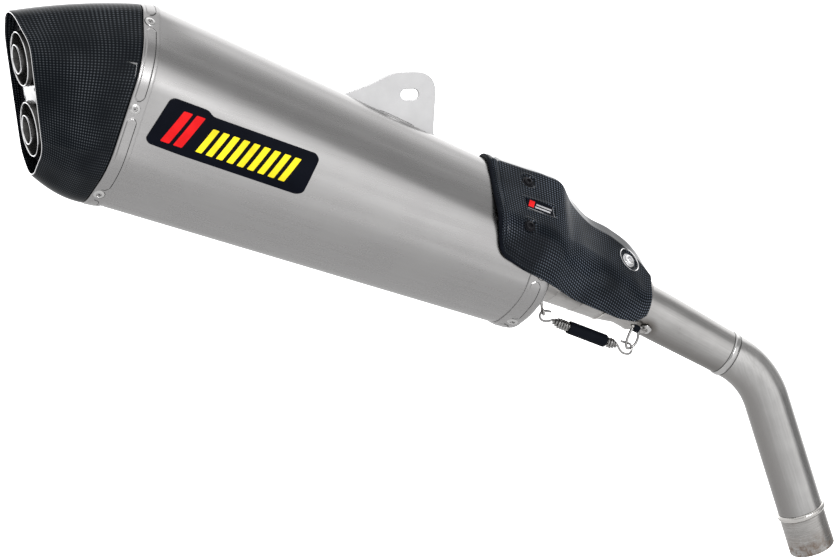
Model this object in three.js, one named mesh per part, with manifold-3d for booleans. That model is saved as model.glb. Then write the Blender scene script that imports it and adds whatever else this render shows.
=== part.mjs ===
// Slip-on exhaust muffler for a motorcycle, with twin outlets and a bent link pipe.
// Millimetres, +Z up, +X towards the front of the motorcycle, +Y towards its left side.
// The origin is the middle of the hanger bracket's bolt slot, where a bolt holds the muffler up.
import * as THREE from "three";
import { mergeVertices } from "three/addons/utils/BufferGeometryUtils.js";
import Module from "manifold-3d";

const wasm = await Module();
wasm.setup();

// ---------- driving dimensions ----------
const GAP = 0.3; // between pieces that touch
const SHEET = 1.2; // titanium sheet
const CARBON = 2.2; // carbon-fibre shells
const TUBE_WALL = 1.5;

// The muffler frame: x runs forward along the sleeve from its back edge, z is square to it.
const MUFFLER_ORIGIN = [-309.5, -14, -24.6];
const MUFFLER_PITCH = 17.4; // degrees, the back end is the higher one
const SLEEVE_LENGTH = 451;
const REAR_BAND_WIDTH = 17.5;
const FRONT_SKIRT_BACK = 428;

// Half outlines of the sleeve, as [lateral, height, corner radius] from the top to the bottom.
const REAR_OUTLINE = [[0, 131, 27], [61, 71.5, 60], [50.5, -36, 50], [0, -82, 31]];
const FOLD_OUTLINE = [[0, 136.3, 27], [61, 69.8, 60], [50.8, -36, 50], [0, -79.7, 31]];
const FRONT_OUTLINE = [[0, 79, 25], [62.5, 15.4, 40], [62.5, -38, 28], [0, -77, 45]];
const CORNER_STEPS = [4, 3, 3, 4, 3, 3];

// The outlet cap ends in a slanted rim. Its frame: x runs inwards, z up along the rim's plane.
const RIM_ORIGIN = [-99.3, 0, 37.5];
const RIM_TILT = -25.4;
const RIM_OUTLINE = [[0, 57, 29], [40.5, 16.5, 25], [36, -86, 22], [0, -114, 22]];
const RIM_PLAN_RADIUS = 190; // the rim is rounded as seen from above
const CAP_CROWN = 1;
const CAP_FACE_DEPTH = 11;
const CAP_FACE_THICKNESS = 2;
const CAP_LIP_LENGTH = 14; // the lip that reaches inside the sleeve

const OUTLET_HEIGHTS = { upper: 0, lower: -66.3 };
const OUTLET_RADIUS = 26;
const OUTLET_RIM_DEPTH = 3.8;
const OUTLET_LENGTH = 62;
const INSERT_RADIUS = 14;
const INSERT_RIM_DEPTH = 0.8;
const INSERT_PLATE_DEPTH = 13;

const BULKHEAD_X = 30;
const CORE_RADIUS = 27;
const CORE_FRONT = { x: 441, z: 9.5 };
const CORE_REAR = { x: 20, z: 26 };
const CORE_HOLES_AROUND = 6;
const CORE_HOLE_ROWS = 6;

// The link-pipe frame: x runs forward along the slip joint's axis from the muffler's front face.
const PIPE_ORIGIN = [123.8, -14, -150];
const PIPE_PITCH = 28.4;
const PIPE_RADIUS = 22.2;
const SLIP_RADIUS = 24.4;
const CONE_SECTIONS = [[30, 40.5], [84, 32.2]]; // [distance, radius] of the inlet cone's ring seams
const SOCKET_END = 120;
const SOCKET_RADIUS = 26.2;
const SLIP_START = 97; // the link pipe reaches this far into the socket
const BEAD = { at: 223.6, width: 7, radius: 23.2 };
const BEND = { start: 229.6, radius: 88, angle: 40.5, aside: 13.9 };
const LOWER_LENGTH = 118.8; // straight pipe from the bend to the collar's weld ring
const COLLAR_RING = { width: 6, radius: 24.2 };
const COLLAR_LENGTH = 38;
const COLLAR_RADIUS = 22.4;

const RIVET = { head: 5, height: 1.5, shank: 2.2, length: 6.4 };
const PLATE = 3; // hanger bracket
const SLOT = { length: 18, height: 10.5 };
const SPRING = { lateral: 26, coil: 5.3, cover: 6.3, wire: 0.9 };

// ---------- materials ----------
const material = (color, roughness, metalness) =>
  new THREE.MeshStandardMaterial({ color, roughness, metalness });
const titanium = material(0xa9a6a2, 0.42, 1);
const stainless = material(0xb4b2ae, 0.35, 1);
const polished = material(0xe8e8ea, 0.1, 1);
const carbon = material(0x14171c, 0.15, 0);
const blackSteel = material(0x101114, 0.35, 1);
const springSteel = material(0x8d8b88, 0.3, 1);
const rubber = material(0x111317, 0.7, 0);
const wool = material(0xd9d2bd, 0.95, 0);
const badgeBlack = material(0x0c0d10, 0.25, 0);

// ---------- solids ----------
const radians = THREE.MathUtils.degToRad;
const lerp = THREE.MathUtils.lerp;

// Merged vertices and faces that point outwards.
function closed(geometry) {
  const bare = geometry.clone();
  for (const name of ["normal", "uv"]) bare.deleteAttribute(name);
  const merged = mergeVertices(bare, 1e-4);
  const index = merged.index.array;
  const at = merged.attributes.position;
  const [a, b, c] = [new THREE.Vector3(), new THREE.Vector3(), new THREE.Vector3()];
  let volume = 0;
  for (let i = 0; i < index.length; i += 3) {
    a.fromBufferAttribute(at, index[i]);
    b.fromBufferAttribute(at, index[i + 1]);
    c.fromBufferAttribute(at, index[i + 2]);
    volume += a.dot(b.cross(c));
  }
  if (volume < 0)
    for (let i = 0; i < index.length; i += 3)
      [index[i + 1], index[i + 2]] = [index[i + 2], index[i + 1]];
  merged.computeVertexNormals();
  return merged;
}

function toManifold(geometry) {
  const solid = closed(geometry);
  return new wasm.Manifold(new wasm.Mesh({
    numProp: 3,
    vertProperties: new Float32Array(solid.attributes.position.array),
    triVerts: new Uint32Array(solid.index.array),
  }));
}

function fromManifold(solid) {
  const mesh = solid.getMesh();
  const geometry = new THREE.BufferGeometry();
  geometry.setAttribute("position", new THREE.BufferAttribute(mesh.vertProperties, 3));
  geometry.setIndex(new THREE.BufferAttribute(mesh.triVerts, 1));
  return geometry;
}

const cut = (geometry, cutters) =>
  fromManifold(cutters.reduce((solid, cutter) => solid.subtract(toManifold(cutter)), toManifold(geometry)));
const join = (geometries) =>
  fromManifold(geometries.map(toManifold).reduce((solid, other) => solid.add(other)));

// A body through rings of equal point counts: the last ring joins the first when endless, or both ends close.
function loft(rings, endless = false) {
  const count = rings[0].length;
  const points = rings.flat();
  const faces = [];
  const spans = endless ? rings.length : rings.length - 1;
  for (let r = 0; r < spans; r++) {
    const next = (r + 1) % rings.length;
    for (let i = 0; i < count; i++) {
      const j = (i + 1) % count;
      const [a, b, c, d] = [r * count + i, r * count + j, next * count + j, next * count + i];
      // The same diagonal inside and outside, so that nested skins keep their distance.
      faces.push(...(rings[next][i].x < rings[r][i].x ? [a, b, d, b, c, d] : [a, b, c, a, c, d]));
    }
  }
  if (!endless)
    for (const [r, flip] of [[0, true], [rings.length - 1, false]]) {
      const middle = new THREE.Vector3();
      for (const point of rings[r]) middle.addScaledVector(point, 1 / count);
      points.push(middle);
      for (let i = 0; i < count; i++) {
        const [a, b] = [r * count + i, r * count + (i + 1) % count];
        faces.push(...(flip ? [points.length - 1, b, a] : [points.length - 1, a, b]));
      }
    }
  return fromPoints(points, faces);
}

function fromPoints(points, faces) {
  const geometry = new THREE.BufferGeometry();
  geometry.setAttribute("position", new THREE.Float32BufferAttribute(points.flatMap((p) => p.toArray()), 3));
  geometry.setIndex(faces);
  return geometry;
}

// A sheet with a thickness: two grids of points, face to face, closed along their edges.
function sheet(outer, inner) {
  const rows = outer.length;
  const columns = outer[0].length;
  const points = [...outer.flat(), ...inner.flat()];
  const under = rows * columns;
  const at = (r, c) => r * columns + c;
  const faces = [];
  const quad = (a, b, c, d) => faces.push(a, b, c, a, c, d);
  for (let r = 0; r < rows - 1; r++)
    for (let c = 0; c < columns - 1; c++) {
      quad(at(r, c), at(r, c + 1), at(r + 1, c + 1), at(r + 1, c));
      quad(under + at(r, c), under + at(r + 1, c), under + at(r + 1, c + 1), under + at(r, c + 1));
    }
  for (let r = 0; r < rows - 1; r++)
    for (const [c, flip] of [[0, false], [columns - 1, true]]) {
      const [a, b] = flip ? [at(r + 1, c), at(r, c)] : [at(r, c), at(r + 1, c)];
      quad(a, b, under + b, under + a);
    }
  for (let c = 0; c < columns - 1; c++)
    for (const [r, flip] of [[0, true], [rows - 1, false]]) {
      const [a, b] = flip ? [at(r, c + 1), at(r, c)] : [at(r, c), at(r, c + 1)];
      quad(a, b, under + b, under + a);
    }
  return fromPoints(points, faces);
}

// A turned body about the x axis, from a closed profile of [radius, x].
function turned(profile, segments = 20) {
  const points = [...profile, profile[0]].map(([radius, x]) => new THREE.Vector2(radius, x));
  return new THREE.LatheGeometry(points, segments).rotateZ(-Math.PI / 2);
}

// A solid turned body about the x axis, whose profile starts and ends on the axis.
function turnedSolid(profile, segments = 12) {
  const points = profile.map(([radius, x]) => new THREE.Vector2(radius, x));
  return new THREE.LatheGeometry(points, segments).rotateZ(-Math.PI / 2);
}

const pipe = (radius, wall, from, to, segments = 20) =>
  turned([[radius, from], [radius, to], [radius - wall, to], [radius - wall, from]], segments);

// A round rod along a curve.
function rod(points, radius, steps, sides = 6) {
  const outline = new THREE.Shape(Array.from({ length: sides }, (_, i) => new THREE.Vector2(
    radius * Math.cos(2 * Math.PI * i / sides), radius * Math.sin(2 * Math.PI * i / sides))));
  const curve = new THREE.CatmullRomCurve3(points, false, "catmullrom", 0.3);
  return new THREE.ExtrudeGeometry(outline, { extrudePath: curve, steps, curveSegments: 1 });
}

// Turns a geometry made along +x so that it points along a direction, and moves it.
function aim(geometry, direction, place) {
  const turn = new THREE.Quaternion().setFromUnitVectors(
    new THREE.Vector3(1, 0, 0), direction.clone().normalize());
  return geometry.applyQuaternion(turn).translate(place.x, place.y, place.z);
}

// ---------- rounded outlines ----------
const mirrored = ([top, upper, lower, bottom]) => {
  const across = ([y, z, radius]) => [-y, z, radius];
  return [top, upper, lower, bottom, across(lower), across(upper)];
};
const blend = (a, b, t) => a.map((corner, i) => corner.map((value, k) => lerp(value, b[i][k], t)));

// Moves every side of a convex outline outwards.
function grown(corners, by) {
  const middle = corners.reduce((sum, [, z]) => sum + z / corners.length, 0);
  const sides = corners.map(([y, z], i) => {
    const [y2, z2] = corners[(i + 1) % corners.length];
    const length = Math.hypot(y2 - y, z2 - z);
    const normal = [(z2 - z) / length, (y - y2) / length];
    const outwards = normal[0] * y + normal[1] * (z - middle) > 0 ? 1 : -1;
    const [ny, nz] = normal.map((v) => v * outwards);
    return { ny, nz, offset: ny * y + nz * z + by };
  });
  return corners.map(([, , radius], i) => {
    const [p, q] = [sides[(i + corners.length - 1) % corners.length], sides[i]];
    const area = p.ny * q.nz - p.nz * q.ny;
    const y = (p.offset * q.nz - q.offset * p.nz) / area;
    const z = (p.ny * q.offset - q.ny * p.offset) / area;
    return [y, z, Math.max(radius + by, 1)];
  });
}

// The outline's points [y, z], each corner an arc.
function rounded(corners, steps = CORNER_STEPS) {
  return corners.flatMap(([y, z, radius], i) => {
    const corner = new THREE.Vector2(y, z);
    const [before, after] = [corners.at(i - 1), corners[(i + 1) % corners.length]]
      .map(([cy, cz]) => new THREE.Vector2(cy, cz).sub(corner).normalize());
    const half = Math.acos(THREE.MathUtils.clamp(before.dot(after), -1, 1)) / 2;
    const inwards = before.clone().add(after).normalize();
    const centre = corner.clone().addScaledVector(inwards, radius / Math.sin(half));
    const start = corner.clone().addScaledVector(before, radius / Math.tan(half)).sub(centre);
    const end = corner.clone().addScaledVector(after, radius / Math.tan(half)).sub(centre);
    const sweep = Math.atan2(start.cross(end), start.dot(end));
    return Array.from({ length: steps[i] + 1 }, (_, k) =>
      start.clone().rotateAround(new THREE.Vector2(), sweep * k / steps[i]).add(centre).toArray());
  });
}

// The sleeve's outline at a distance from its back edge: straight lines join its three outlines.
function sleeveRing(x, by = 0) {
  const [from, to, t] = x < REAR_BAND_WIDTH
    ? [REAR_OUTLINE, FOLD_OUTLINE, x / REAR_BAND_WIDTH]
    : [FOLD_OUTLINE, FRONT_OUTLINE, (x - REAR_BAND_WIDTH) / (SLEEVE_LENGTH - REAR_BAND_WIDTH)];
  const [a, b] = [from, to].map((half) => rounded(grown(mirrored(half), by)));
  return a.map(([y, z], i) => new THREE.Vector3(x, lerp(y, b[i][0], t), lerp(z, b[i][1], t)));
}

// The sleeve's side at a height: its lateral half-width there, and the direction out of it.
function sideOf(x, z, by = 0) {
  const ring = sleeveRing(x, by).filter((p) => p.y >= 0);
  for (let i = 0; i + 1 < ring.length; i++) {
    const [a, b] = [ring[i], ring[i + 1]];
    if ((a.z - z) * (b.z - z) > 0 || a.z === b.z) continue;
    return { y: lerp(a.y, b.y, (a.z - z) / (a.z - b.z)), out: new THREE.Vector3(0, a.z - b.z, b.y - a.y).normalize() };
  }
  return { y: 0, out: new THREE.Vector3(0, 1, 0) };
}
const sideAt = (x, z, by) => sideOf(x, z, by).y;

// True where a point lies outside the sleeve grown by a distance.
function clearOfSleeve(point, by) {
  const ring = sleeveRing(point.x, by);
  return ring.some((a, i) => {
    const b = ring[(i + 1) % ring.length];
    return (b.z - a.z) * (point.y - a.y) - (b.y - a.y) * (point.z - a.z) < 0;
  });
}

// The height of the sleeve's upper side at a lateral distance.
function topAt(x, y, by = 0) {
  const ring = sleeveRing(x, by).filter((p) => p.z > 0).sort((a, b) => a.y - b.y);
  for (let i = 0; i + 1 < ring.length; i++) {
    const [a, b] = [ring[i], ring[i + 1]];
    if (a.y <= y && b.y >= y && b.y > a.y) return lerp(a.z, b.z, (y - a.y) / (b.y - a.y));
  }
  return 0;
}

// ---------- scene graph ----------
const group = new THREE.Group();
const muffler = new THREE.Group();
muffler.position.set(...MUFFLER_ORIGIN);
muffler.rotation.y = radians(MUFFLER_PITCH);
const rim = new THREE.Group();
rim.position.set(...RIM_ORIGIN);
rim.rotation.y = radians(RIM_TILT);
const link = new THREE.Group();
link.position.set(...PIPE_ORIGIN);
link.rotation.y = radians(PIPE_PITCH);
muffler.add(rim);
group.add(muffler, link);

function piece(name, geometry, look, parent) {
  const mesh = new THREE.Mesh(closed(geometry), look);
  mesh.name = name;
  parent.add(mesh);
}

// ---------- rivets through the bands ----------
const NEAR = -1;
const rivetPlaces = (x, heights) => heights.flatMap((z) => [NEAR, -NEAR].map((side) => {
  const { y, out } = sideOf(x, z, 1.3);
  const across = new THREE.Vector3(1, side, 1);
  return { place: new THREE.Vector3(x, y, z).multiply(across), out: out.clone().multiply(across) };
}));
const rearRivets = rivetPlaces(7.5, [106.5, 24, -60]);
const frontRivets = rivetPlaces(439.5, [45, -13, -63]);
const shankHole = ({ place, out }) =>
  aim(turnedSolid([[0, -16], [2.6, -16], [2.6, 6], [0, 6]], 8), out, place);
const rearHoles = rearRivets.map(shankHole);
const frontHoles = frontRivets.map(shankHole);

function rivets(name, places) {
  const profile = [
    [0, RIVET.height], [RIVET.shank, RIVET.height], [RIVET.head - 1, 1.1], [RIVET.head, 0],
    [RIVET.shank, 0], [RIVET.shank, -RIVET.length], [0, -RIVET.length],
  ];
  places.forEach(({ place, out }, i) =>
    piece(`${name}_${i + 1}`, aim(turnedSolid(profile, 10), out, place.clone().addScaledVector(out, 0.7)),
      polished, muffler));
}

// ---------- sleeve, bands and end caps ----------
const ringPair = (xs, by) => xs.map((x) => sleeveRing(x, by));

function outerSleeve() {
  const xs = [1, REAR_BAND_WIDTH, 160, 300, 444.5];
  const body = loft([...ringPair(xs, 0), ...ringPair(xs, -SHEET).reverse()], true);
  piece("outer_sleeve", cut(body, [...rearHoles, ...frontHoles]), titanium, muffler);
}

function rearBand() {
  const xs = [1, REAR_BAND_WIDTH];
  const body = loft([...ringPair(xs, 1.2), ...ringPair(xs, GAP).reverse()], true);
  piece("rear_band", cut(body, rearHoles), titanium, muffler);
}

// The link pipe's slip joint passes through the front face along its own slanted axis.
const ENTRY_HEIGHT = 9.9;
const slipAxis = new THREE.Vector3(1, 0, 0).applyEuler(new THREE.Euler(0, radians(PIPE_PITCH - MUFFLER_PITCH), 0));
const entryCutter = (radius) => aim(turnedSolid([[0, -30], [radius, -30], [radius, 30], [0, 30]], 28),
  slipAxis, new THREE.Vector3(SLEEVE_LENGTH, 0, ENTRY_HEIGHT));

function frontEndCap() {
  const outside = [sleeveRing(FRONT_SKIRT_BACK, 1.3), sleeveRing(445, 1.3), sleeveRing(449.5, -0.6), sleeveRing(451, -5)];
  const inside = [sleeveRing(FRONT_SKIRT_BACK - 1, GAP), sleeveRing(445, GAP), sleeveRing(448, -2.4), sleeveRing(449.2, -5.4)];
  piece("front_end_cap", cut(loft(outside), [loft(inside), entryCutter(44), ...frontHoles]), titanium, muffler);
}

// The outlet cap's outline in its own turning frame, from the sleeve's edge (t = 0) to the rim (t = 1).
function capRing(t, by) {
  const [rimX, , rimZ] = RIM_ORIGIN;
  const start = REAR_OUTLINE.map(([y, z, radius]) => [y, z - rimZ, radius]);
  const half = blend(start, RIM_OUTLINE, t);
  const crown = CAP_CROWN * 4 * t * (1 - t);
  const turn = new THREE.Euler(0, radians(RIM_TILT * t), 0);
  return rounded(grown(mirrored(half), by + crown)).map(([y, z]) =>
    new THREE.Vector3(t * y * y / (2 * RIM_PLAN_RADIUS), y, z)
      .applyEuler(turn).add(new THREE.Vector3(rimX * t, 0, rimZ)));
}

function endCapShell() {
  const outside = [0, 0.25, 0.5, 0.75, 1].map((t) => capRing(t, 1.1));
  const inside = [1, 0.75, 0.5, 0.25, 0.04].map((t) => capRing(t, 1.1 - CARBON));
  const lip = -SHEET - GAP;
  const rings = [
    ...outside, ...inside,
    sleeveRing(0, lip - 2), sleeveRing(CAP_LIP_LENGTH, lip - 2),
    sleeveRing(CAP_LIP_LENGTH, lip), sleeveRing(-0.2, lip),
  ];
  piece("end_cap_shell", cut(loft(rings, true), rearHoles), carbon, muffler);
}

const rimOutline = (by) => rounded(grown(mirrored(RIM_OUTLINE), by));

// A plate across the rim's frame, from x to x + thickness, with holes.
function rimPlate(outline, holes, x, thickness, segments = 8) {
  const points = outline.map(([y, z]) => new THREE.Vector2(y, z));
  const clockwise = THREE.ShapeUtils.isClockWise(points);
  const shape = new THREE.Shape(points);
  for (const [y, z, radius] of holes)
    shape.holes.push(new THREE.Path().absarc(y, z, radius, 0, 2 * Math.PI, !clockwise));
  return new THREE.ExtrudeGeometry(shape, { depth: thickness, bevelEnabled: false, curveSegments: segments })
    .rotateY(Math.PI / 2).rotateX(Math.PI / 2).translate(x, 0, 0);
}

function endCapFace() {
  const holes = Object.values(OUTLET_HEIGHTS).map((z) => [0, z, OUTLET_RADIUS + GAP]);
  piece("end_cap_face",
    rimPlate(rimOutline(-CARBON + 1.1 - 1), holes, CAP_FACE_DEPTH, CAP_FACE_THICKNESS, 12), carbon, rim);
}

function outlets() {
  const bore = OUTLET_RADIUS - TUBE_WALL;
  for (const [place, z] of Object.entries(OUTLET_HEIGHTS)) {
    const tube = pipe(OUTLET_RADIUS, TUBE_WALL, OUTLET_RIM_DEPTH, OUTLET_RIM_DEPTH + OUTLET_LENGTH, 24);
    piece(`outlet_tube_${place}`, tube.translate(0, 0, z), stainless, rim);
    const [skirt, front, back] = [bore - GAP, INSERT_PLATE_DEPTH, INSERT_PLATE_DEPTH + 20];
    const insert = turned([
      [INSERT_RADIUS - 1.3, INSERT_RIM_DEPTH], [INSERT_RADIUS, INSERT_RIM_DEPTH], [INSERT_RADIUS, front],
      [skirt, front], [skirt, back], [skirt - 1.5, back], [skirt - 1.5, front + 1.5],
      [INSERT_RADIUS, front + 1.5], [INSERT_RADIUS, 56], [INSERT_RADIUS - 1.3, 56],
    ], 20);
    piece(`noise_insert_${place}`, insert.translate(0, 0, z), stainless, rim);
  }
}

// The strap between the two outlets, cut round them, with two screws near the rim.
const BRIDGE = { x: 8, thickness: CAP_FACE_DEPTH - GAP - 8, from: -33, to: 16 };
function outletBridge() {
  const middle = (OUTLET_HEIGHTS.upper + OUTLET_HEIGHTS.lower) / 2;
  const outline = [[BRIDGE.from, middle - 9], [BRIDGE.to, middle - 9], [BRIDGE.to, middle + 9], [BRIDGE.from, middle + 9]];
  const strap = rimPlate(outline, [], BRIDGE.x, BRIDGE.thickness);
  const rounds = Object.values(OUTLET_HEIGHTS).map((z) =>
    turnedSolid([[0, 0], [OUTLET_RADIUS + GAP, 0], [OUTLET_RADIUS + GAP, 20], [0, 20]], 24).translate(0, 0, z));
  piece("outlet_bridge", cut(strap, rounds), polished, rim);
  [5.5, -5.5].forEach((up, i) => {
    const screw = turnedSolid([[0, -1.6], [1.4, -1.6], [2.2, -0.8], [2.2, -GAP], [0, -GAP]], 10);
    piece(`bridge_screw_${i + 1}`, screw.translate(BRIDGE.x, -28, middle + up), blackSteel, rim);
  });
}

// ---------- inside ----------
const coreLine = new THREE.Vector3(CORE_FRONT.x - CORE_REAR.x, 0, CORE_FRONT.z - CORE_REAR.z);
const coreCutter = (radius) => aim(turnedSolid([[0, -10], [radius, -10], [radius, 460], [0, 460]], 20),
  coreLine, new THREE.Vector3(CORE_REAR.x, 0, CORE_REAR.z));

// A cup inside the sleeve's back end that carries the back end of the core.
function rearBulkhead() {
  const cup = (edge, by, far) => loft([sleeveRing(edge, by), sleeveRing(far - 4, by), sleeveRing(far, by - 4)]);
  const outer = -SHEET - GAP - 2 - 2 * GAP;
  const inside = cup(0, outer - TUBE_WALL, BULKHEAD_X - TUBE_WALL);
  const shell = cut(cup(4, outer, BULKHEAD_X), [inside, coreCutter(CORE_RADIUS + 0.7), ...rearHoles]);
  piece("rear_bulkhead", shell, stainless, muffler);
}

function perforatedCore() {
  const length = coreLine.length();
  const holes = [];
  for (let row = 0; row < CORE_HOLE_ROWS; row++)
    for (let i = 0; i < CORE_HOLES_AROUND / 2; i++) {
      const angle = Math.PI * (i + (row % 2) / 2) / (CORE_HOLES_AROUND / 2);
      const across = new THREE.Vector3(0, Math.cos(angle), Math.sin(angle));
      const along = length * (row + 1.2) / (CORE_HOLE_ROWS + 1.4);
      holes.push(aim(turnedSolid([[0, -40], [7, -40], [7, 40], [0, 40]], 6), across, new THREE.Vector3(along, 0, 0)));
    }
  const tube = cut(pipe(CORE_RADIUS, TUBE_WALL, 0, length, 18), holes);
  piece("perforated_core", aim(tube, coreLine, new THREE.Vector3(CORE_REAR.x, 0, CORE_REAR.z)), stainless, muffler);
}

function packing() {
  const filling = loft([BULKHEAD_X + 2, 160, 300, 442].map((x) => sleeveRing(x, -SHEET - 1)));
  piece("packing", cut(filling, [coreCutter(CORE_RADIUS + 1), ...frontHoles]), wool, muffler);
}

// ---------- inlet cone and link pipe ----------
// A ring about the link pipe's axis, cut square to the muffler's own axis so that it meets the end cap.
function entryConeRing(x, radius, segments) {
  const turn = radians(PIPE_PITCH - MUFFLER_PITCH);
  return Array.from({ length: segments }, (_, i) => {
    const angle = 2 * Math.PI * i / segments;
    const [y, z] = [radius * Math.cos(angle), radius * Math.sin(angle)];
    return new THREE.Vector3((x - SLEEVE_LENGTH - z * Math.sin(turn)) / Math.cos(turn), y, z);
  });
}
const linkRing = (x, radius, segments) => Array.from({ length: segments }, (_, i) => {
  const angle = 2 * Math.PI * i / segments;
  return new THREE.Vector3(x, radius * Math.cos(angle), radius * Math.sin(angle));
});

function inletCone() {
  const segments = 24;
  const [[first, wide], [second, narrow]] = CONE_SECTIONS;
  const rings = [
    entryConeRing(449.4, 43, segments), linkRing(first, wide, segments), linkRing(second, narrow, segments),
    linkRing(second, narrow - TUBE_WALL, segments), linkRing(first, wide - TUBE_WALL, segments),
    entryConeRing(449.4, 43 - TUBE_WALL, segments),
  ];
  piece("inlet_cone", loft(rings, true), titanium, link);
}

function inletSocket() {
  const [, [start, wide]] = CONE_SECTIONS;
  const profile = [
    [wide, start + GAP], [SOCKET_RADIUS, start + 20], [SOCKET_RADIUS, SOCKET_END],
    [SLIP_RADIUS + GAP, SOCKET_END], [SLIP_RADIUS + GAP, start + 20], [wide - TUBE_WALL, start + GAP],
  ];
  piece("inlet_socket", turned(profile, 24), titanium, link);
}

function linkPipeCone() {
  const [start, taper, end] = [SLIP_START, 140, BEAD.at - BEAD.width / 2 - GAP];
  const profile = [
    [SLIP_RADIUS, start], [SLIP_RADIUS, taper], [PIPE_RADIUS, end - 10], [PIPE_RADIUS, end],
    [PIPE_RADIUS - TUBE_WALL, end], [PIPE_RADIUS - TUBE_WALL, end - 10],
    [SLIP_RADIUS - TUBE_WALL, taper], [SLIP_RADIUS - TUBE_WALL, start],
  ];
  piece("link_pipe_cone", turned(profile, 24), stainless, link);
}

// A weld ring round the pipe: a low rounded bead.
const weldRing = (radius, width) => turned([
  [PIPE_RADIUS - TUBE_WALL, -width / 2], [PIPE_RADIUS, -width / 2], [radius, -width / 5],
  [radius, width / 5], [PIPE_RADIUS, width / 2], [PIPE_RADIUS - TUBE_WALL, width / 2],
], 24);

// The bend's centre line, then the straight run down to the collar.
const bendSide = new THREE.Vector3(0, Math.sin(radians(BEND.aside)), -Math.cos(radians(BEND.aside)));
function bendAt(angle) {
  const forward = new THREE.Vector3(1, 0, 0);
  return {
    place: new THREE.Vector3(BEND.start, 0, 0).addScaledVector(forward, BEND.radius * Math.sin(angle))
      .addScaledVector(bendSide, BEND.radius * (1 - Math.cos(angle))),
    along: forward.multiplyScalar(Math.cos(angle)).addScaledVector(bendSide, Math.sin(angle)),
  };
}
const bendEnd = bendAt(radians(BEND.angle));
const runAt = (distance) => bendEnd.place.clone().addScaledVector(bendEnd.along, distance);

function linkPipeBend() {
  const segments = 24;
  const steps = 6;
  const stations = [{ place: new THREE.Vector3(BEAD.at + BEAD.width / 2 + GAP, 0, 0), along: new THREE.Vector3(1, 0, 0) }];
  for (let i = 0; i <= steps; i++) stations.push(bendAt(radians(BEND.angle) * i / steps));
  stations.push({ place: runAt(LOWER_LENGTH - GAP), along: bendEnd.along });
  const across = new THREE.Vector3().crossVectors(new THREE.Vector3(1, 0, 0), bendSide);
  const ring = ({ place, along }, radius) => {
    const up = new THREE.Vector3().crossVectors(across, along).normalize();
    return linkRing(0, radius, segments).map((p) =>
      place.clone().addScaledVector(across, p.y).addScaledVector(up, p.z));
  };
  const outside = stations.map((s) => ring(s, PIPE_RADIUS));
  const inside = stations.map((s) => ring(s, PIPE_RADIUS - TUBE_WALL)).reverse();
  piece("link_pipe_bend", loft([...outside, ...inside], true), stainless, link);
}

function linkPipe() {
  linkPipeCone();
  piece("link_pipe_bead", weldRing(BEAD.radius, BEAD.width).translate(BEAD.at, 0, 0), stainless, link);
  linkPipeBend();
  const ringMiddle = LOWER_LENGTH + COLLAR_RING.width / 2;
  piece("collar_ring", aim(weldRing(COLLAR_RING.radius, COLLAR_RING.width), bendEnd.along, runAt(ringMiddle)),
    stainless, link);
  const collar = pipe(COLLAR_RADIUS, TUBE_WALL, 0, COLLAR_LENGTH, 24);
  piece("inlet_collar", aim(collar, bendEnd.along, runAt(LOWER_LENGTH + COLLAR_RING.width + GAP)), stainless, link);
}

// ---------- retaining spring ----------
function retainingSpring() {
  // Points beside the pipe, as [x, z] and a little sideways.
  const at = (x, z, aside = 0) => new THREE.Vector3(x, NEAR * (SPRING.lateral + aside), z);
  const [coilStart, coilEnd] = [at(38, -55.4), at(108.4, -46.6)];
  const coil = coilEnd.clone().sub(coilStart);
  const length = coil.length();
  const body = aim(turnedSolid([
    [0, 0], [SPRING.wire, 0], [3.4, 2], [SPRING.coil, 12], [SPRING.coil, length - 9],
    [3.4, length - 2], [SPRING.wire, length], [0, length],
  ], 12), coil, coilStart);
  const rearHook = rod([at(39, -55.4), at(29, -59.5), at(24, -57.4), at(23.6, -53.6), at(26.4, -50.4), at(32, -48.4)],
    SPRING.wire, 10);
  // The front hook passes in front of the loop's one side, through it, and behind its other side.
  const frontHook = rod([
    at(107.4, -46.6), at(117, -50), at(122.8, -48.4, 1.9), at(123.2, -43.6, 3), at(120.2, -39.2), at(116.6, -39.6, -2.7),
    at(111.5, -40.4, -3),
  ], SPRING.wire, 14);
  piece("retaining_spring", join([body, rearHook, frontHook]), springSteel, link);

  const cover = turned([
    [SPRING.coil + GAP, 17.5], [SPRING.cover, 17.5], [SPRING.cover, 61.5], [SPRING.coil + GAP, 61.5],
  ], 14);
  piece("spring_sleeve", aim(cover, coil, coilStart), rubber, link);

  // A stem from the inlet cone with an eye that the rear hook passes through.
  const hookWay = new THREE.Vector3(1, 0, 1);
  const eye = aim(new THREE.TorusGeometry(3.2, 1, 6, 14).rotateY(Math.PI / 2), hookWay, at(24.9, -52));
  const stem = rod([at(14.6, -37.6, -3), at(18, -42.6, -1), at(22.4, -49.4)], 1.4, 6);
  piece("spring_lug", join([stem, eye]), titanium, link);

  // On the pipe: a flat foot with a stub, and a wire loop that hangs from the stub.
  const footOut = new THREE.Vector3(0, NEAR, -1.08).normalize();
  const foot = turnedSolid([[0, -1], [7, -1], [5.5, 0.9], [0, 1.4]], 12).scale(1, 1, 1.25);
  const footPlace = new THREE.Vector3(131, 0, 0).addScaledVector(footOut, SLIP_RADIUS + 1.5);
  const stub = rod([at(131, -19.6, -7.8), at(128, -21.6, -4.6), at(121, -23.4, -1), at(113, -23)], 2.3, 8, 8);
  const loop = new THREE.CatmullRomCurve3([
    at(116, -22.8), at(114.4, -29), at(115.8, -40), at(119.6, -44), at(124, -39), at(124.4, -31), at(120.8, -23.2),
  ], false, "catmullrom", 0.5);
  const outline = new THREE.Shape().absarc(0, 0, 1.1, 0, 2 * Math.PI);
  const wire = new THREE.ExtrudeGeometry(outline, { extrudePath: loop, steps: 24, curveSegments: 3 });
  piece("spring_loop", join([stub, wire, aim(foot, footOut, footPlace)]), stainless, link);
}

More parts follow.
